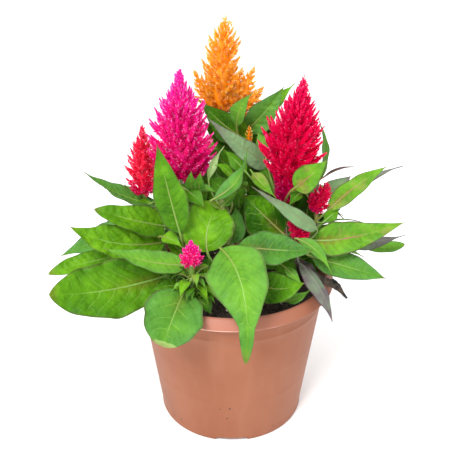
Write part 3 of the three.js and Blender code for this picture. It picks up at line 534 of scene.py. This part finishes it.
def leaf_material():
    """Green blades by each leaf's look, with pale or red veins, painted shade and light between them,
    and a paler or mauve underside.
    """
    m = Material("leaf", Roughness=0.42, Specular_IOR_Level=0.09)
    lightness, blueness, redness = m.values("look")
    along, across, vein = m.values("blade")
    under, edge, mauve = m.values("side")
    strength, pale_tip, brown_tip = m.values("veins")
    broad = m.noise(55, 3)
    fine = m.noise(300, 3)
    cycle = m.math("ABSOLUTE", m.math("SUBTRACT", m.math("FRACT", vein), 0.5))

    level = m.math("ADD", lightness, m.scaled(broad, 1.7, -0.85))
    level = m.scaled(fine, 0.4, m.math("SUBTRACT", level, 0.2))
    # Painted shade beside the side veins and painted light in the middle of the fields between them, for
    # puckered relief.
    quilt_shade = m.times(m.math("SUBTRACT", 0.25, cycle), strength)
    level = m.scaled(quilt_shade, 0.4, level)
    top = m.mix(m.steps(level, -0.2, 0.5), (30, 72, 0), (72, 124, 0))
    top = m.mix(m.steps(level, 0.4, 1.2), top, (110, 165, 20))
    top = m.mix(m.steps(level, 1.2, 1.9), top, (186, 204, 140))
    blue = m.times(blueness, m.scaled(edge, 0.5, 0.4))
    top = m.mix(blue, top, (84, 138, 74))

    patchy = m.steps(m.noise(95, 2), 0.3, 0.6)
    rib = m.times(m.steps(m.math("ABSOLUTE", across), 0.8, 0.25), m.steps(along, 1.0, 0.2))
    line = m.times(m.steps(cycle, 0.42, 0.5), m.steps(edge, 0.95, 0.55), m.steps(along, 0.9, 0.7))
    line = m.times(line, patchy, strength)
    rib_redness = m.times(redness, 0.6, m.steps(along, 0.7, 0.1))
    rib_colour = m.mix(rib_redness, (146, 184, 92), (160, 70, 66))
    red_reach = m.times(redness, m.steps(along, 0.55, 0.1))
    line_colour = m.mix(red_reach, (132, 178, 68), (150, 92, 60))
    flush = m.times(red_reach, m.steps(edge, 0.45, 0.0))
    upper = m.mix(m.times(flush, 0.5), top, (150, 80, 50))
    blotch = m.times(m.steps(m.noise(80, 3), 0.5, 0.66), m.steps(redness, 0.4, 0.9))
    upper = m.mix(m.times(blotch, 0.3), upper, (164, 134, 84))
    upper = m.mix(m.times(line, 0.8), upper, line_colour)
    rib = m.times(rib, m.scaled(strength, 0.5, 0.2))
    upper = m.mix(rib, upper, rib_colour)
    rim = m.times(m.steps(edge, 0.88, 0.98), m.scaled(mauve, 0.5, 0.45))
    upper = m.mix(rim, upper, (76, 48, 48))
    upper = m.mix(m.times(m.steps(mauve, 1.1, 1.5), 0.85), upper, (96, 66, 70))

    lower = m.mix(m.times(blueness, 0.7), (96, 138, 56), (134, 168, 124))
    lower = m.mix(m.steps(level, 1.2, 1.9), lower, (200, 216, 156))
    grey = m.mix(m.steps(broad, 0.35, 0.65), (114, 130, 106), (98, 84, 92))
    far = m.times(m.steps(along, 0.5, 1.0), m.steps(mauve, 0.2, 0.4))
    share = m.scaled(far, 0.45, m.times(mauve, 0.85))
    lower = m.mix(m.steps(share, 0.0, 1.0), lower, grey)
    lower = m.mix(m.times(line, 0.3), lower, (140, 150, 110))
    lower = m.mix(rim, lower, (80, 50, 68))
    skin = m.mix(under, upper, lower)
    folded = m.steps(m.scaled(fine, 0.06, along), 0.925, 0.945)
    folded = m.times(folded, pale_tip, m.steps(across, 9.0, 6.0), 0.85)
    skin = m.mix(folded, skin, (142, 172, 96))
    browned = m.times(m.steps(along, 0.88, 1.0), m.scaled(brown_tip, 0.5, 0.4))
    skin = m.mix(browned, skin, (112, 76, 48))

    pucker = m.scaled(m.noise(140, 2), 2.4, m.times(fine, 0.7))
    m.bump(m.scaled(line, -0.5, pucker), 0.8, 1.0)
    return m.finish(skin, glow=0.2)


def stem_material():
    """Green stalks and stems, streaked and flushed with red."""
    m = Material("stem", Roughness=0.45)
    lightness, blueness, redness = m.values("look")
    streaks = m.noise(260, 2)
    flush = m.times(m.steps(m.noise(30), 0.35, 0.7), redness)
    skin = m.mix(lightness, (72, 112, 22), (124, 164, 70))
    skin = m.mix(m.times(streaks, 0.3), skin, (50, 90, 14))
    skin = m.mix(flush, skin, (136, 44, 52))
    skin = m.mix(blueness, skin, (104, 104, 92))
    m.bump(streaks, 0.3, 0.4)
    return m.finish(skin)


def tepal_material(name, deep, mid, light, tip, crown, foot, rarity):
    """Papery pointed tepals: deeper at the root, lighter at the tip, rare ones much paler as painted
    glints.
    """
    m = Material(name, Roughness=0.4, Specular_IOR_Level=0.4)
    along, chance, spray = m.values("tepal")
    height, _, _ = m.values("head")
    broad = m.noise(60, 2)
    level = m.scaled(along, 0.5, m.times(spray, 0.35))
    level = m.scaled(broad, 0.5, m.math("SUBTRACT", level, 0.25))
    skin = m.mix(m.steps(level, 0.0, 0.5), deep, mid)
    skin = m.mix(m.times(m.steps(level, 0.5, 1.1), 0.7), skin, light)
    skin = m.mix(m.times(m.steps(height, 0.25, 1.0), 0.7), skin, crown)
    skin = m.mix(m.times(m.steps(height, 0.36, 0.08), 0.75), skin, foot)
    # Painted glints: the rarer tepals much paler towards their tips, for glossy highlights.
    glint = m.times(m.steps(chance, rarity, rarity + 0.12), m.steps(along, 0.1, 0.6), 0.85)
    skin = m.mix(glint, skin, tip)
    return m.finish(skin, glow=0.4)


def soil_material():
    """Dark damp potting soil with paler bits."""
    m = Material("soil", Roughness=0.9)
    grain = m.noise(900, 4, 0.7)
    patch = m.noise(120, 2)
    chance, _, _ = m.values("crumb")
    skin = m.mix(m.steps(grain, 0.3, 0.7), (24, 18, 14), (70, 54, 42))
    skin = m.mix(m.times(patch, 0.3), skin, (34, 26, 22))
    skin = m.mix(m.steps(chance, 0.9, 0.92), skin, (186, 178, 162))
    m.bump(grain, 0.8, 1.0)
    return m.finish(skin)


def pot_material():
    """Terracotta-coloured moulded plastic: satin, with painted light on the lip, most on its left,
    painted shade on its right, a painted highlight along its bead, streaks and specks of soil.
    """
    m = Material("pot", Roughness=0.45, Specular_IOR_Level=0.2)
    x, _, height = m.node("SeparateXYZ", {0: m.place()}).outputs
    cloud = m.noise(16, 3)
    grain = m.noise(1500, 2)
    upright = m.node("Mapping", {0: m.place(), 3: (1, 1, 0.12)}).outputs[0]
    streaks = m.noise(110, 3, vector=upright)
    skin = m.mix(m.steps(cloud, 0.3, 0.7), (134, 80, 55), (143, 89, 64))
    skin = m.mix(m.times(m.steps(streaks, 0.45, 0.8), 0.2), skin, (158, 110, 90))
    # Painted light: the lip's upward face paler, most of all on its left side.
    lip = m.steps(height, 0.1296, 0.1302)
    painted_light = m.scaled(m.steps(x, 0.07, -0.02), 0.55, 0.25)
    skin = m.mix(m.times(lip, painted_light), skin, (166, 108, 91))
    # Painted shade: the lip darker on its right side.
    painted_shade = m.steps(x, 0.03, 0.075)
    skin = m.mix(m.times(lip, painted_shade, 0.6), skin, (112, 62, 42))
    # Painted highlight: a pale line along the lip's outer bead, broken up by noise.
    bead = m.times(m.steps(height, 0.1311, 0.1315), m.steps(height, 0.1323, 0.1319))
    glint_breaks = m.steps(m.noise(28, 1), 0.45, 0.6)
    skin = m.mix(m.times(bead, glint_breaks, 0.5), skin, (240, 208, 194))
    ragged = m.node("TexNoise", {"Vector": m.place(), "Scale": 400.0}).outputs["Color"]
    ragged = m.node("VectorMath", {0: ragged, 1: [0.003] * 3}, operation="MULTIPLY").outputs[0]
    ragged = m.node("VectorMath", {0: m.place(), 1: ragged}, operation="ADD").outputs[0]
    specks = m.node("TexVoronoi", {"Vector": ragged, "Scale": 120.0})
    size = m.node("SeparateColor", {0: specks.outputs["Color"]}).outputs[0]
    size = m.scaled(m.times(size, size), 1.3, 0.2)
    speck = m.steps(m.math("DIVIDE", specks.outputs["Distance"], size), 0.12, 0.08)
    low = m.steps(height, 0.08, 0.03)
    skin = m.mix(m.times(speck, low), skin, (62, 50, 40))
    m.tree.links.new(m.scaled(streaks, 0.2, 0.4), m.shader.inputs["Roughness"])
    m.bump(grain, 0.15, 0.15)
    return m.finish(skin)


def dry_material():
    """A dead leaf: dark brown, darkened further as painted shade, and blotched with a paler brown."""
    m = Material("dry_leaf", Roughness=0.75)
    blotch = m.noise(160, 4, 0.6)
    # Near black: the dead leaf's own dark brown, darkened further as painted shade.
    skin = m.mix(m.steps(blotch, 0.35, 0.65), (18, 15, 13), (70, 57, 44))
    m.bump(blotch, 0.7, 1.0)
    return m.finish(skin)


# ---- leaves


def outline_share(name, s):
    """A blade's width at s, as a share of its greatest."""
    widest, taper = OUTLINES[name]
    rise = taper * widest / (1 - widest)
    s = np.clip(s, 1e-6, 1 - 1e-9)
    return (s / widest) ** rise * ((1 - s) / (1 - widest)) ** taper


def midrib(leaf, s):
    """The midrib's points, its direction, and the blade's side and upper directions at s."""
    base, middle, tip = np.array(leaf[:3], float)
    bend = 2 * middle - (base + tip) / 2
    s = s[:, None]
    point, along = curve(base, bend, tip, s)
    across = unit(np.cross(unit(tip - base), np.array(leaf.face, float)))
    side = unit(across - along * (along @ across)[:, None])
    angle = radians(leaf.twist) * s
    side = side * np.cos(angle) + np.cross(along, side) * np.sin(angle)
    return point, along, side, np.cross(side, along)


def add_blade(shape, leaf, phase):
    """One blade with a sunk midrib, raised fields between its side veins and a waved margin."""
    width = leaf.width
    length = np.linalg.norm(np.subtract(leaf.tip, leaf.base))
    rows = int(np.clip(length / 1.3, 16, 90))
    half_columns = int(np.clip(width / 3, 3, 15))
    s = np.linspace(0, 1, rows)
    q = np.linspace(-1, 1, 2 * half_columns + 1)
    point, _, side, normal = midrib(leaf, s)
    stalk = STALK_HALF_WIDTH * np.sqrt(1 - s) + TIP_HALF_WIDTH * s
    pale_tip, brown_tip, tail = TIPS.get(leaf.tip, (0, 0, 0))
    stalk = np.maximum(stalk, tail * np.sqrt(1 - s) * (s > 0.5))
    half = np.maximum(width / 2 * outline_share(leaf.outline, s), stalk)

    S, Q = np.meshgrid(s, q, indexing="ij")
    swell = np.sin(pi * S)
    right = Q > 0
    uneven = (0.045 * np.sin(8 * S + 2 * phase + 1.9 * right)
              + 0.03 * np.sin(19 * S + 5 * phase + 0.7 * right))
    half = half[:, None] * (1 + uneven * swell)
    reach = half * np.abs(Q)
    wave = WAVE_SHARE * width * swell**0.7 * np.sin(3.2 * pi * S + phase + 2.2 * right)
    spacing = np.clip(width / 3.6, 4, 11)
    sweep = 0.5 * reach + 1.2 * reach**2 / width
    wander = 0.16 * np.sin(5 * S + 3 * phase + 2 * Q) + 0.1 * np.sin(11 * S * Q + phase)
    vein = (S * length - sweep) / spacing + 0.45 * right + phase + wander
    ripple = 0.042 * width * np.sin(tau * (S * length / 19 + 1.7 * phase) + 2.4 * np.sign(Q))
    window = np.sqrt(swell) * np.clip(reach / 2.5, 0, 1) * (1 - np.abs(Q) ** 6)
    quilt = -min(0.55, 0.018 * width) * np.cos(tau * vein) * window
    groove = -0.45 * np.exp(-((reach / 1.3) ** 2)) * (1 - S)
    lift = (half * sin(VEE_ANGLE) * np.abs(Q) ** 1.2 + wave * np.abs(Q) ** 1.6
            + ripple * swell * np.abs(Q) ** 3 + quilt + groove)
    top = (point[:, None] + side[:, None] * (Q * half * cos(VEE_ANGLE))[..., None]
           + normal[:, None] * lift[..., None])
    thickness = BLADE_THICKNESS * (1 - 0.5 * np.abs(Q) ** 4)
    under = top - normal[:, None] * thickness[..., None]

    lightness, blueness, redness, mauve = LOOKS[leaf.look]
    blade = np.stack([S, Q * half, vein], -1).reshape(-1, 3)
    edge = np.abs(Q).ravel()
    sides = [np.stack([np.full(edge.size, turned), edge, np.full(edge.size, mauve)], -1)
             for turned in (0, 1)]
    shade = 0.12 * sin(7 * phase)
    strength = np.clip((width - 8) / 30, 0, 1) * (0.75 + 0.25 * sin(5 * phase))
    shape.add_sheet(top, under, blade=np.vstack([blade, blade]), side=np.vstack(sides),
                    look=(lightness + shade, blueness, redness), veins=(strength, pale_tip, brown_tip))


def rim_faces(rows, columns):
    """Quads that join the edges of a grid of points to those of its copy underneath."""
    count = rows * columns
    loop = [*range(columns - 1), *range(columns - 1, count - 1, columns),
            *range(count - 1, count - columns, -1), *range(count - columns, 0, -columns)]
    return [(b, a, a + count, b + count) for a, b in zip(loop, loop[1:] + loop[:1])]


def branch_points(branch):
    """A branch's points as in the solids: upright in the soil and under its plume."""
    foot, bend, top = branch
    points = [foot, bend, (top[0], top[1], top[2] - 9), top]
    if foot[2] == STEM_FOOT:
        points.insert(1, (foot[0], foot[1], SOIL_LEVEL + 4))
    return points


def stalk_root(branches, base):
    """Where a leaf's stalk leaves the nearest branch."""
    t = np.arange(0.24, 0.7401, 0.01)
    points = np.vstack([spline(branch_points(branch), t) for branch in branches])
    out = np.hypot(*(points[:, :2] - base[:2]).T)
    return points[np.argmin(2 * out + np.abs(base[2] - STALK_RISE * out - points[:, 2]))]


def add_stalk(shape, leaf, root, look):
    """The stalk, from the stem to the blade, and on as the raised midrib under it."""
    base = np.array(leaf.base, float)
    point, along, _, normal = midrib(leaf, np.linspace(0, 0.9, 14))
    reach = np.linalg.norm(base - root)
    bend = base - along[0] * reach * 0.35
    first, _ = curve(root, bend, base, np.linspace(0, 1, 9)[:-1, None])
    sink = np.minimum(np.linspace(0.2, 1, 14), 0.5)[:, None]
    line = np.vstack([first, point - normal * sink])
    size = min(1, 0.35 + leaf.width / 36)
    radii = np.concatenate([np.linspace(1.1, 0.95, len(first)), np.linspace(0.95, 0.12, 14)])
    tube(shape, line, STALK_RADIUS * size * radii, 8, look=look)


def rosette_leaves(middle, count, length, width, look):
    """Small leaves set round the shoot, just under its plume."""
    random = np.random.default_rng(5)
    x, y, z = middle
    leaves = []
    for i in range(count):
        turn = tau * (i + 0.6 * random.random()) / count
        reach = length * (0.8 + 0.4 * random.random())
        drop = 4 * (i % 3)
        line = [(x + out * cos(turn), y + out * sin(turn), z - drop + rise)
                for out, rise in ((5, 0), (5 + reach * 0.5, 3), (5 + reach, -3))]
        leaves.append(Leaf(*line, width, UP, look))
    return leaves


def make_shoot(name, branches, leaf_skin, stem_skin):
    """A shoot's blades as one piece, and its stems and leaf stalks as another."""
    blades, stems = Shape(), Shape()
    leaves = [Leaf(*row) for row in LEAVES[name]]
    for rosette in ROSETTES.get(name, []):
        leaves += rosette_leaves(*rosette)
    flush = 0.9 if name == "crimson" else 0.35
    for i, branch in enumerate(branches):
        line = spline(branch_points(branch), np.linspace(0, 1, 40))
        radius = STEM_RADIUS if i == 0 else SIDE_SHOOT_RADIUS
        tube(stems, line, radius * np.linspace(1, 0.85, 40), 20, ribs=0.05, look=(0.5, 0, flush))
    for i, leaf in enumerate(leaves):
        root = stalk_root(branches, leaf.base)
        lightness, _, redness, _ = LOOKS[leaf.look]
        greyness = {"mauve": 1, "sage": 0.5}.get(leaf.look, 0)
        add_blade(blades, leaf, GOLDEN_ANGLE * i)
        add_stalk(stems, leaf, root, (0.4 + 0.5 * min(lightness, 1), greyness, max(redness, 0.3)))
    blades.piece(f"leaves_{name}", leaf_skin, "leaf", f"leafy_stem_{name}")
    stems.piece(f"stems_{name}", stem_skin, "leaf")


# ---- plumes


def add_tepals(shape, roots, directions, lengths, chances, spray_chance, level, random):
    """Small closed three-sided spindles, broadest at two fifths of their length."""
    count = len(roots)
    widths = 0.36 * lengths
    directions = unit(directions)
    side = unit(np.cross(directions, random.normal(size=(count, 3))))
    other = np.cross(directions, side)
    mid = roots + directions * (0.4 * lengths)[:, None]
    left, right = (mid + k * side * (widths / 2)[:, None] for k in (-1, 1))
    ridge = mid + other * (0.3 * widths)[:, None]
    tips = roots + directions * lengths[:, None]
    points = np.stack([roots, left, right, ridge, tips], 1)
    faces = [(0, 2, 1), (0, 1, 3), (0, 3, 2), (4, 1, 2), (4, 3, 1), (4, 2, 3)]
    every = (faces + 5 * np.arange(count)[:, None, None]).reshape(-1, 3)
    values = np.full((count, 5, 3), spray_chance)
    values[..., 0] = (0, 0.4, 0.4, 0.5, 1)
    values[..., 1] = chances[:, None]
    shape.add(points, every, tepal=values.reshape(-1, 3), head=(level, 0, 0))


def head_sprays(head, random):
    """Each side spray of a head as three points, from the axis out and up to its tip."""
    foot, tip, radius, outline, rows, columns = head
    foot, tip = np.array([foot, tip], float)
    length = np.linalg.norm(tip - foot)
    axis = (tip - foot) / length
    east = unit(np.cross((0, 1, 0), axis))
    north = np.cross(axis, east)
    levels, shares = zip(*HEAD_OUTLINES[outline])

    def reach(level, turn):
        lobe = 1 + LOBE_SHARE * np.sin(3 * turn + 9 * level) * np.sin(pi * level)
        return radius * (np.interp(level, levels, shares) * lobe + FULLER * (1 - level**4))

    def place(out, turn, height):
        return foot + out * (east * cos(turn) + north * sin(turn)) + axis * height

    sprays = []
    for i in range(rows + 1):
        for j in range(columns):
            level = 0.02 + 0.93 * i / rows + 0.012 * random.normal()
            turn = tau * (j + (i % 2) / 2 + 0.5 + 0.12 * random.normal()) / columns
            full = reach(level, turn)
            lean = SPRAY_LEAN * (1 - CORE_SHARE) * full + CROWN_LEAN * radius * level * (1 - level**2)
            highest = 0.985 - 0.1 * ((3 * i + 2 * j) % 5) / 4
            height = min(level * length + lean, highest * length)
            out = reach(height / length, turn) * (0.94 + 0.2 * random.random())
            start = max(level * length - 0.22 * radius, 0)
            sprays.append([place(0.15 * full, turn, start),
                           place(0.72 * max(out, 0.5 * full), turn, level * length + 0.1 * lean),
                           place(out, turn, height)])
    sprays.append([foot, (foot + tip) / 2, tip + 0.3 * axis])
    return np.array(sprays), place, reach, length


def add_head(shape, head, random):
    """A head: a core, side sprays that curve up and out of it, and tepals all over them."""
    _, tepal_length, tepal_pitch = next(size for size in TEPAL_SIZES if head[2] < size[0])
    foot, axis = head[0], unit(np.subtract(head[1], head[0]))
    sprays, place, reach, length = head_sprays(head, random)
    core = [[place(0.5 * reach(level, turn) * (1 - 0.7 * level**4), turn, level * 0.95 * length)
             for turn in tau * np.arange(14) / 14]
            for level in np.linspace(0, 1, 12)]
    ends = [place(0, 0, 0), place(0, 0, 0.97 * length)]
    shape.add_rings(core, ends, tepal=(0, 0, 0.2), head=(0.4, 0, 0))

    for start, bend, tip in sprays:
        size = np.linalg.norm(tip - start)
        level = np.clip((tip - foot) @ axis / length, 0, 1)
        t = np.linspace(0, 1, 6)[:, None]
        line, _ = curve(start, bend, tip, t)
        thick = 0.075 * min(size, 26)
        spray_chance = random.random()
        tube(shape, line, thick * (1.05 - t[:, 0]) + 0.12, 5, tepal=(0.15, 0, spray_chance),
             head=(level, 0, 0))
        count = max(8, int(size / tepal_pitch))
        u = (0.3 + 0.7 * (np.arange(count) + 0.5) / count)[:, None]
        roots, along = curve(start, bend, tip, u)
        spin = GOLDEN_ANGLE * np.arange(count) + 6.28 * random.random()
        side = unit(np.cross(along, (0.3, 0.2, 1.0)))
        out = side * np.cos(spin)[:, None] + np.cross(along, side) * np.sin(spin)[:, None]
        spread = (1.0 - 0.9 * u**2) * (1 - 0.75 * level**5)
        directions = along + out * spread * (0.75 + 0.4 * random.random((count, 1)))
        lengths = tepal_length * (1.2 - 0.5 * u[:, 0]) * (0.75 + 0.5 * random.random(count))
        lengths *= 1 - 0.55 * level**8
        roots += out * (thick * (1.05 - u)) * 0.6
        add_tepals(shape, roots, directions, lengths, random.random(count), spray_chance, level, random)


def make_plume(name, kind, heads, skins):
    """A plume's heads as one piece."""
    random = np.random.default_rng(len(name) * 31 + len(heads))
    shape = Shape()
    for head in heads:
        add_head(shape, head, random)
    shape.piece(name + "_tepals", skins[kind], f"{kind}_flower", name, sharp=radians(30))


# ---- soil, pot and withered leaf


def soil_height(x, y):
    """The soil's uneven top."""
    broad = np.sin(x * 0.14 + 1) * np.cos(y * 0.11) + 0.5 * np.sin(x * 0.31 - y * 0.27)
    fine = 0.4 * np.sin(x * 0.9 + 2 * np.sin(y * 0.5)) * np.sin(y * 0.8 + 1.5 * np.sin(x * 0.6))
    return SOIL_LEVEL + SOIL_BUMP * (broad + 0.6 * fine)


def soil_sink(radius):
    """How far the soil sinks beside the pot's wall."""
    return SINK_DEPTH * np.clip((radius - SINK_RADIUS) / SINK_WIDTH, 0, 1)


def make_soil(skin):
    """The soil's body, and crumbs and chips lying on it."""
    random = np.random.default_rng(11)
    shape = Shape()
    turn = tau * np.arange(120) / 120
    R, T = np.meshgrid(np.linspace(0.6, SOIL_RADIUS, 36), turn, indexing="ij")
    x, y = R * np.cos(T), R * np.sin(T)
    z = soil_height(x, y) + 0.5 * random.normal(size=x.shape) * (R < SOIL_RADIUS)
    z -= soil_sink(R)
    top = np.stack([x, y, z], -1)
    wall = [[(r * cos(a), r * sin(a), h) for a in turn]
            for r, h in ((SOIL_RADIUS - 0.6, 110), (64, 9), (61.5, SOIL_FLOOR))]
    shape.add_rings(np.vstack([top, wall]), [(0, 0, soil_height(0, 0)), (0, 0, SOIL_FLOOR)],
                    flipped=True, crumb=(0, 0, 0))

    crumb = np.array([(1, 0, 0), (-1, 0, 0), (0, 1, 0), (0, -1, 0), (0, 0, 1), (0, 0, -1)])
    crumb_faces = [(0, 2, 4), (2, 1, 4), (1, 3, 4), (3, 0, 4),
                   (2, 0, 5), (1, 2, 5), (3, 1, 5), (0, 3, 5)]
    for _ in range(CRUMB_COUNT):
        r = SOIL_RADIUS * sqrt(random.random()) * 0.975
        a = tau * random.random()
        x, y = r * cos(a), r * sin(a)
        size = 0.45 + 1.5 * random.random() ** 3
        turnings = np.linalg.qr(random.normal(size=(3, 3)))[0]
        stretch = (1, 0.75, 0.6) * (0.8 + 0.5 * random.random(3))
        lump = (crumb * (0.8 + 0.4 * random.random((6, 1))) * stretch * size) @ turnings
        place = (x, y, soil_height(x, y) - soil_sink(r) + 0.3 * size)
        shape.add(lump + place, crumb_faces, crumb=(random.random(), 0, 0))
    shape.piece("soil_and_crumbs", skin, "soil", "soil", sharp=radians(35))


def make_pot(skin):
    """The pot, turned smooth, with its sloping lip, faint bands, foot notches and drains."""
    lip_foot = POT_HEIGHT - LIP_HEIGHT
    slope = (RIM_INSIDE - CORNER_RADIUS) / (POT_HEIGHT - INNER_FLOOR - 2)

    def wall(z):
        return CORNER_RADIUS + slope * (z - INNER_FLOOR - 2) + WALL

    foot = [(-FOOT_RING_WIDTH, FOOT_HEIGHT), (-4.4, 1.6), (-3.4, 0.2), (-2.6, 0), (-1.2, 0),
            (-0.3, 0.7), (0.3, 2.2)]
    heights = [6, 12, 20, 28, 36, 44.6, 45, 45.6, 46, 54, 62, 70, 74.6, 75, 75.6, 76, 84, 92, 100,
               108, 114.6, 115, 115.7, 116.2, 122, 126, lip_foot - 0.8]
    bands = {45: 0.04, 45.6: 0.04, 75: 0.04, 75.6: 0.04, 115: 0.25, 115.7: 0.25}
    lip = [(-2.4, 0.1), (-0.8, 0.7), (-0.05, 1.7), (-0.1, 2.6), (-0.8, 3.7), (-4.1, 8.4), (-5.2, 9.5),
           (-6.3, LIP_HEIGHT)]
    outline = [(BASE_RADIUS + out, z) for out, z in foot]
    outline += [(wall(z) + bands.get(z, 0), z) for z in heights]
    outline.append((wall(lip_foot) + 0.5, lip_foot - 0.3))
    outline += [(RIM_RADIUS + out, lip_foot + up) for out, up in lip]
    outline += [(RIM_INSIDE + 0.5, POT_HEIGHT - 0.2), (RIM_INSIDE, POT_HEIGHT - 0.8),
                (RIM_INSIDE - 2.2, POT_HEIGHT - 20), (CORNER_RADIUS, INNER_FLOOR + 2),
                (CORNER_RADIUS - 0.6, INNER_FLOOR + 0.6), (CORNER_RADIUS - 2, INNER_FLOOR)]
    turn = tau * (np.arange(240) + 0.5) / 240
    rings = np.array([[(radius * cos(a), radius * sin(a), z) for a in turn]
                      for radius, z in outline])
    half_notch = NOTCH_WIDTH / 2 / BASE_RADIUS
    for i in range(NOTCH_COUNT):
        middle = -pi / 2 + tau * i / NOTCH_COUNT
        away = np.abs((turn - middle + pi) % tau - pi)
        raised = (FOOT_HEIGHT - 0.2) * np.clip((half_notch - away) / 0.035, 0, 1)
        steps = 0.02 * np.arange(6)[:, None] * (raised > 0)
        rings[1:7, :, 2] = np.maximum(rings[1:7, :, 2], raised + steps)
    shape = Shape()
    shape.add_rings(rings, [(0, 0, FOOT_HEIGHT), (0, 0, INNER_FLOOR)])
    drill_drains(shape.piece("pot_shell", skin, "pot", "pot", sharp=radians(40)))


def drill_drains(pot):
    """Cuts the drain holes through the pot's floor."""
    drills = Shape()
    for i in range(DRAIN_COUNT):
        turn = tau * (i + 0.5) / DRAIN_COUNT
        x, y = DRAIN_PLACE * cos(turn), DRAIN_PLACE * sin(turn)
        tube(drills, [(x, y, 1), (x, y, 5), (x, y, 9)], [DRAIN_RADIUS] * 3, 32)
    cutter = drills.object("drills")
    cut = pot.modifiers.new("drains", "BOOLEAN")
    cut.object, cut.operation, cut.solver = cutter, "DIFFERENCE", "EXACT"
    seen = bpy.context.evaluated_depsgraph_get()
    drilled = bpy.data.meshes.new_from_object(pot.evaluated_get(seen))
    pot.modifiers.clear()
    pot.data = drilled
    bpy.data.objects.remove(cutter)


def make_withered_leaf(skin):
    """The dead leaf: a crumpled, twisted strip with a ragged margin."""
    shape = Shape()
    s = np.linspace(0, 1, 90)
    point = spline(WITHERED_LINE, s)
    along = unit(np.gradient(point, axis=0))
    side = unit(np.cross((0, 0, 1), along))
    angle = (0.9 * np.sin(9 * s) + 0.5)[:, None]
    side = side * np.cos(angle) + np.cross(along, side) * np.sin(angle)
    normal = np.cross(side, along)
    swell = np.sin(pi * s**0.8) ** 1.2 * (0.8 + 0.25 * np.sin(17 * s))
    half = 0.9 + 6.7 * swell * (1 + 0.12 * np.sin(61 * s) + 0.08 * np.sin(113 * s))
    S, Q = np.meshgrid(s, np.linspace(-1, 1, 13), indexing="ij")
    fold = 0.7 * np.abs(Q) * half[:, None] + 0.5 * np.sin(40 * S + 3 * Q) + 0.4 * np.sin(71 * S - 5 * Q)
    top = (point[:, None] + side[:, None] * (Q * half[:, None])[..., None]
           + normal[:, None] * fold[..., None])
    shape.add_sheet(top, top - normal[:, None] * 0.6)
    shape.piece("withered_leaf_crumpled", skin, "dry_leaf", "withered_leaf")


# ---- studio

# In metres. A lamp has a place, a size and a power in watts.
WORLD_LIGHT = 1.32
LAMPS = [("key", (-0.45, -0.95, 1.4), 0.6, 29), ("fill", (0.9, -0.6, 0.9), 1.2, 1)]
LAMP_TARGET = (0, 0, 0.18)
CAMERA_PLACE = (-0.004, -0.547, 0.438)
CAMERA_PITCH = 25.3
FOCAL_PIXELS = 700
FRAME_PIXELS = 454


def make_studio():
    """A pale floor, light from all round and from two broad lamps, and the camera."""
    scene = bpy.context.scene
    bpy.ops.mesh.primitive_plane_add(size=8)
    floor = bpy.context.object
    floor.name = "floor"
    pale = Material("studio", Roughness=0.8, Base_Color=colour(243, 243, 243))
    floor.data.materials.append(pale.made)

    world = bpy.data.worlds.new("studio")
    world.use_nodes = True
    sky = world.node_tree.nodes["Background"].inputs
    sky["Color"].default_value = (1, 1, 1, 1)
    sky["Strength"].default_value = WORLD_LIGHT
    scene.world = world

    for name, place, size, power in LAMPS:
        lamp = bpy.data.lights.new(name, "AREA")
        lamp.size, lamp.energy = size, power
        holder = bpy.data.objects.new(name, lamp)
        holder.location = place
        x, y, z = np.subtract(LAMP_TARGET, place)
        holder.rotation_euler = (atan2(hypot(x, y), -z), 0, atan2(-x, y))
        scene.collection.objects.link(holder)

    lens = bpy.data.cameras.new("camera")
    lens.sensor_width = 36
    lens.lens = FOCAL_PIXELS / FRAME_PIXELS * lens.sensor_width
    camera = bpy.data.objects.new("camera", lens)
    camera.location = CAMERA_PLACE
    camera.rotation_euler = (radians(90 - CAMERA_PITCH), 0, 0)
    scene.collection.objects.link(camera)
    scene.camera = camera
    scene.view_settings.view_transform = "Standard"


# ---- the whole planting

make_studio()
make_pot(pot_material())
make_soil(soil_material())
leaf_skin, stem_skin = leaf_material(), stem_material()
for shoot_name, branches in BRANCHES.items():
    make_shoot(shoot_name, branches, leaf_skin, stem_skin)
tepal_skins = {kind: tepal_material(kind + "_tepals", *row) for kind, row in TEPAL_COLOURS.items()}
for plume_name, (kind, heads) in PLUMES.items():
    make_plume(plume_name, kind, heads, tepal_skins)
make_withered_leaf(dry_material())
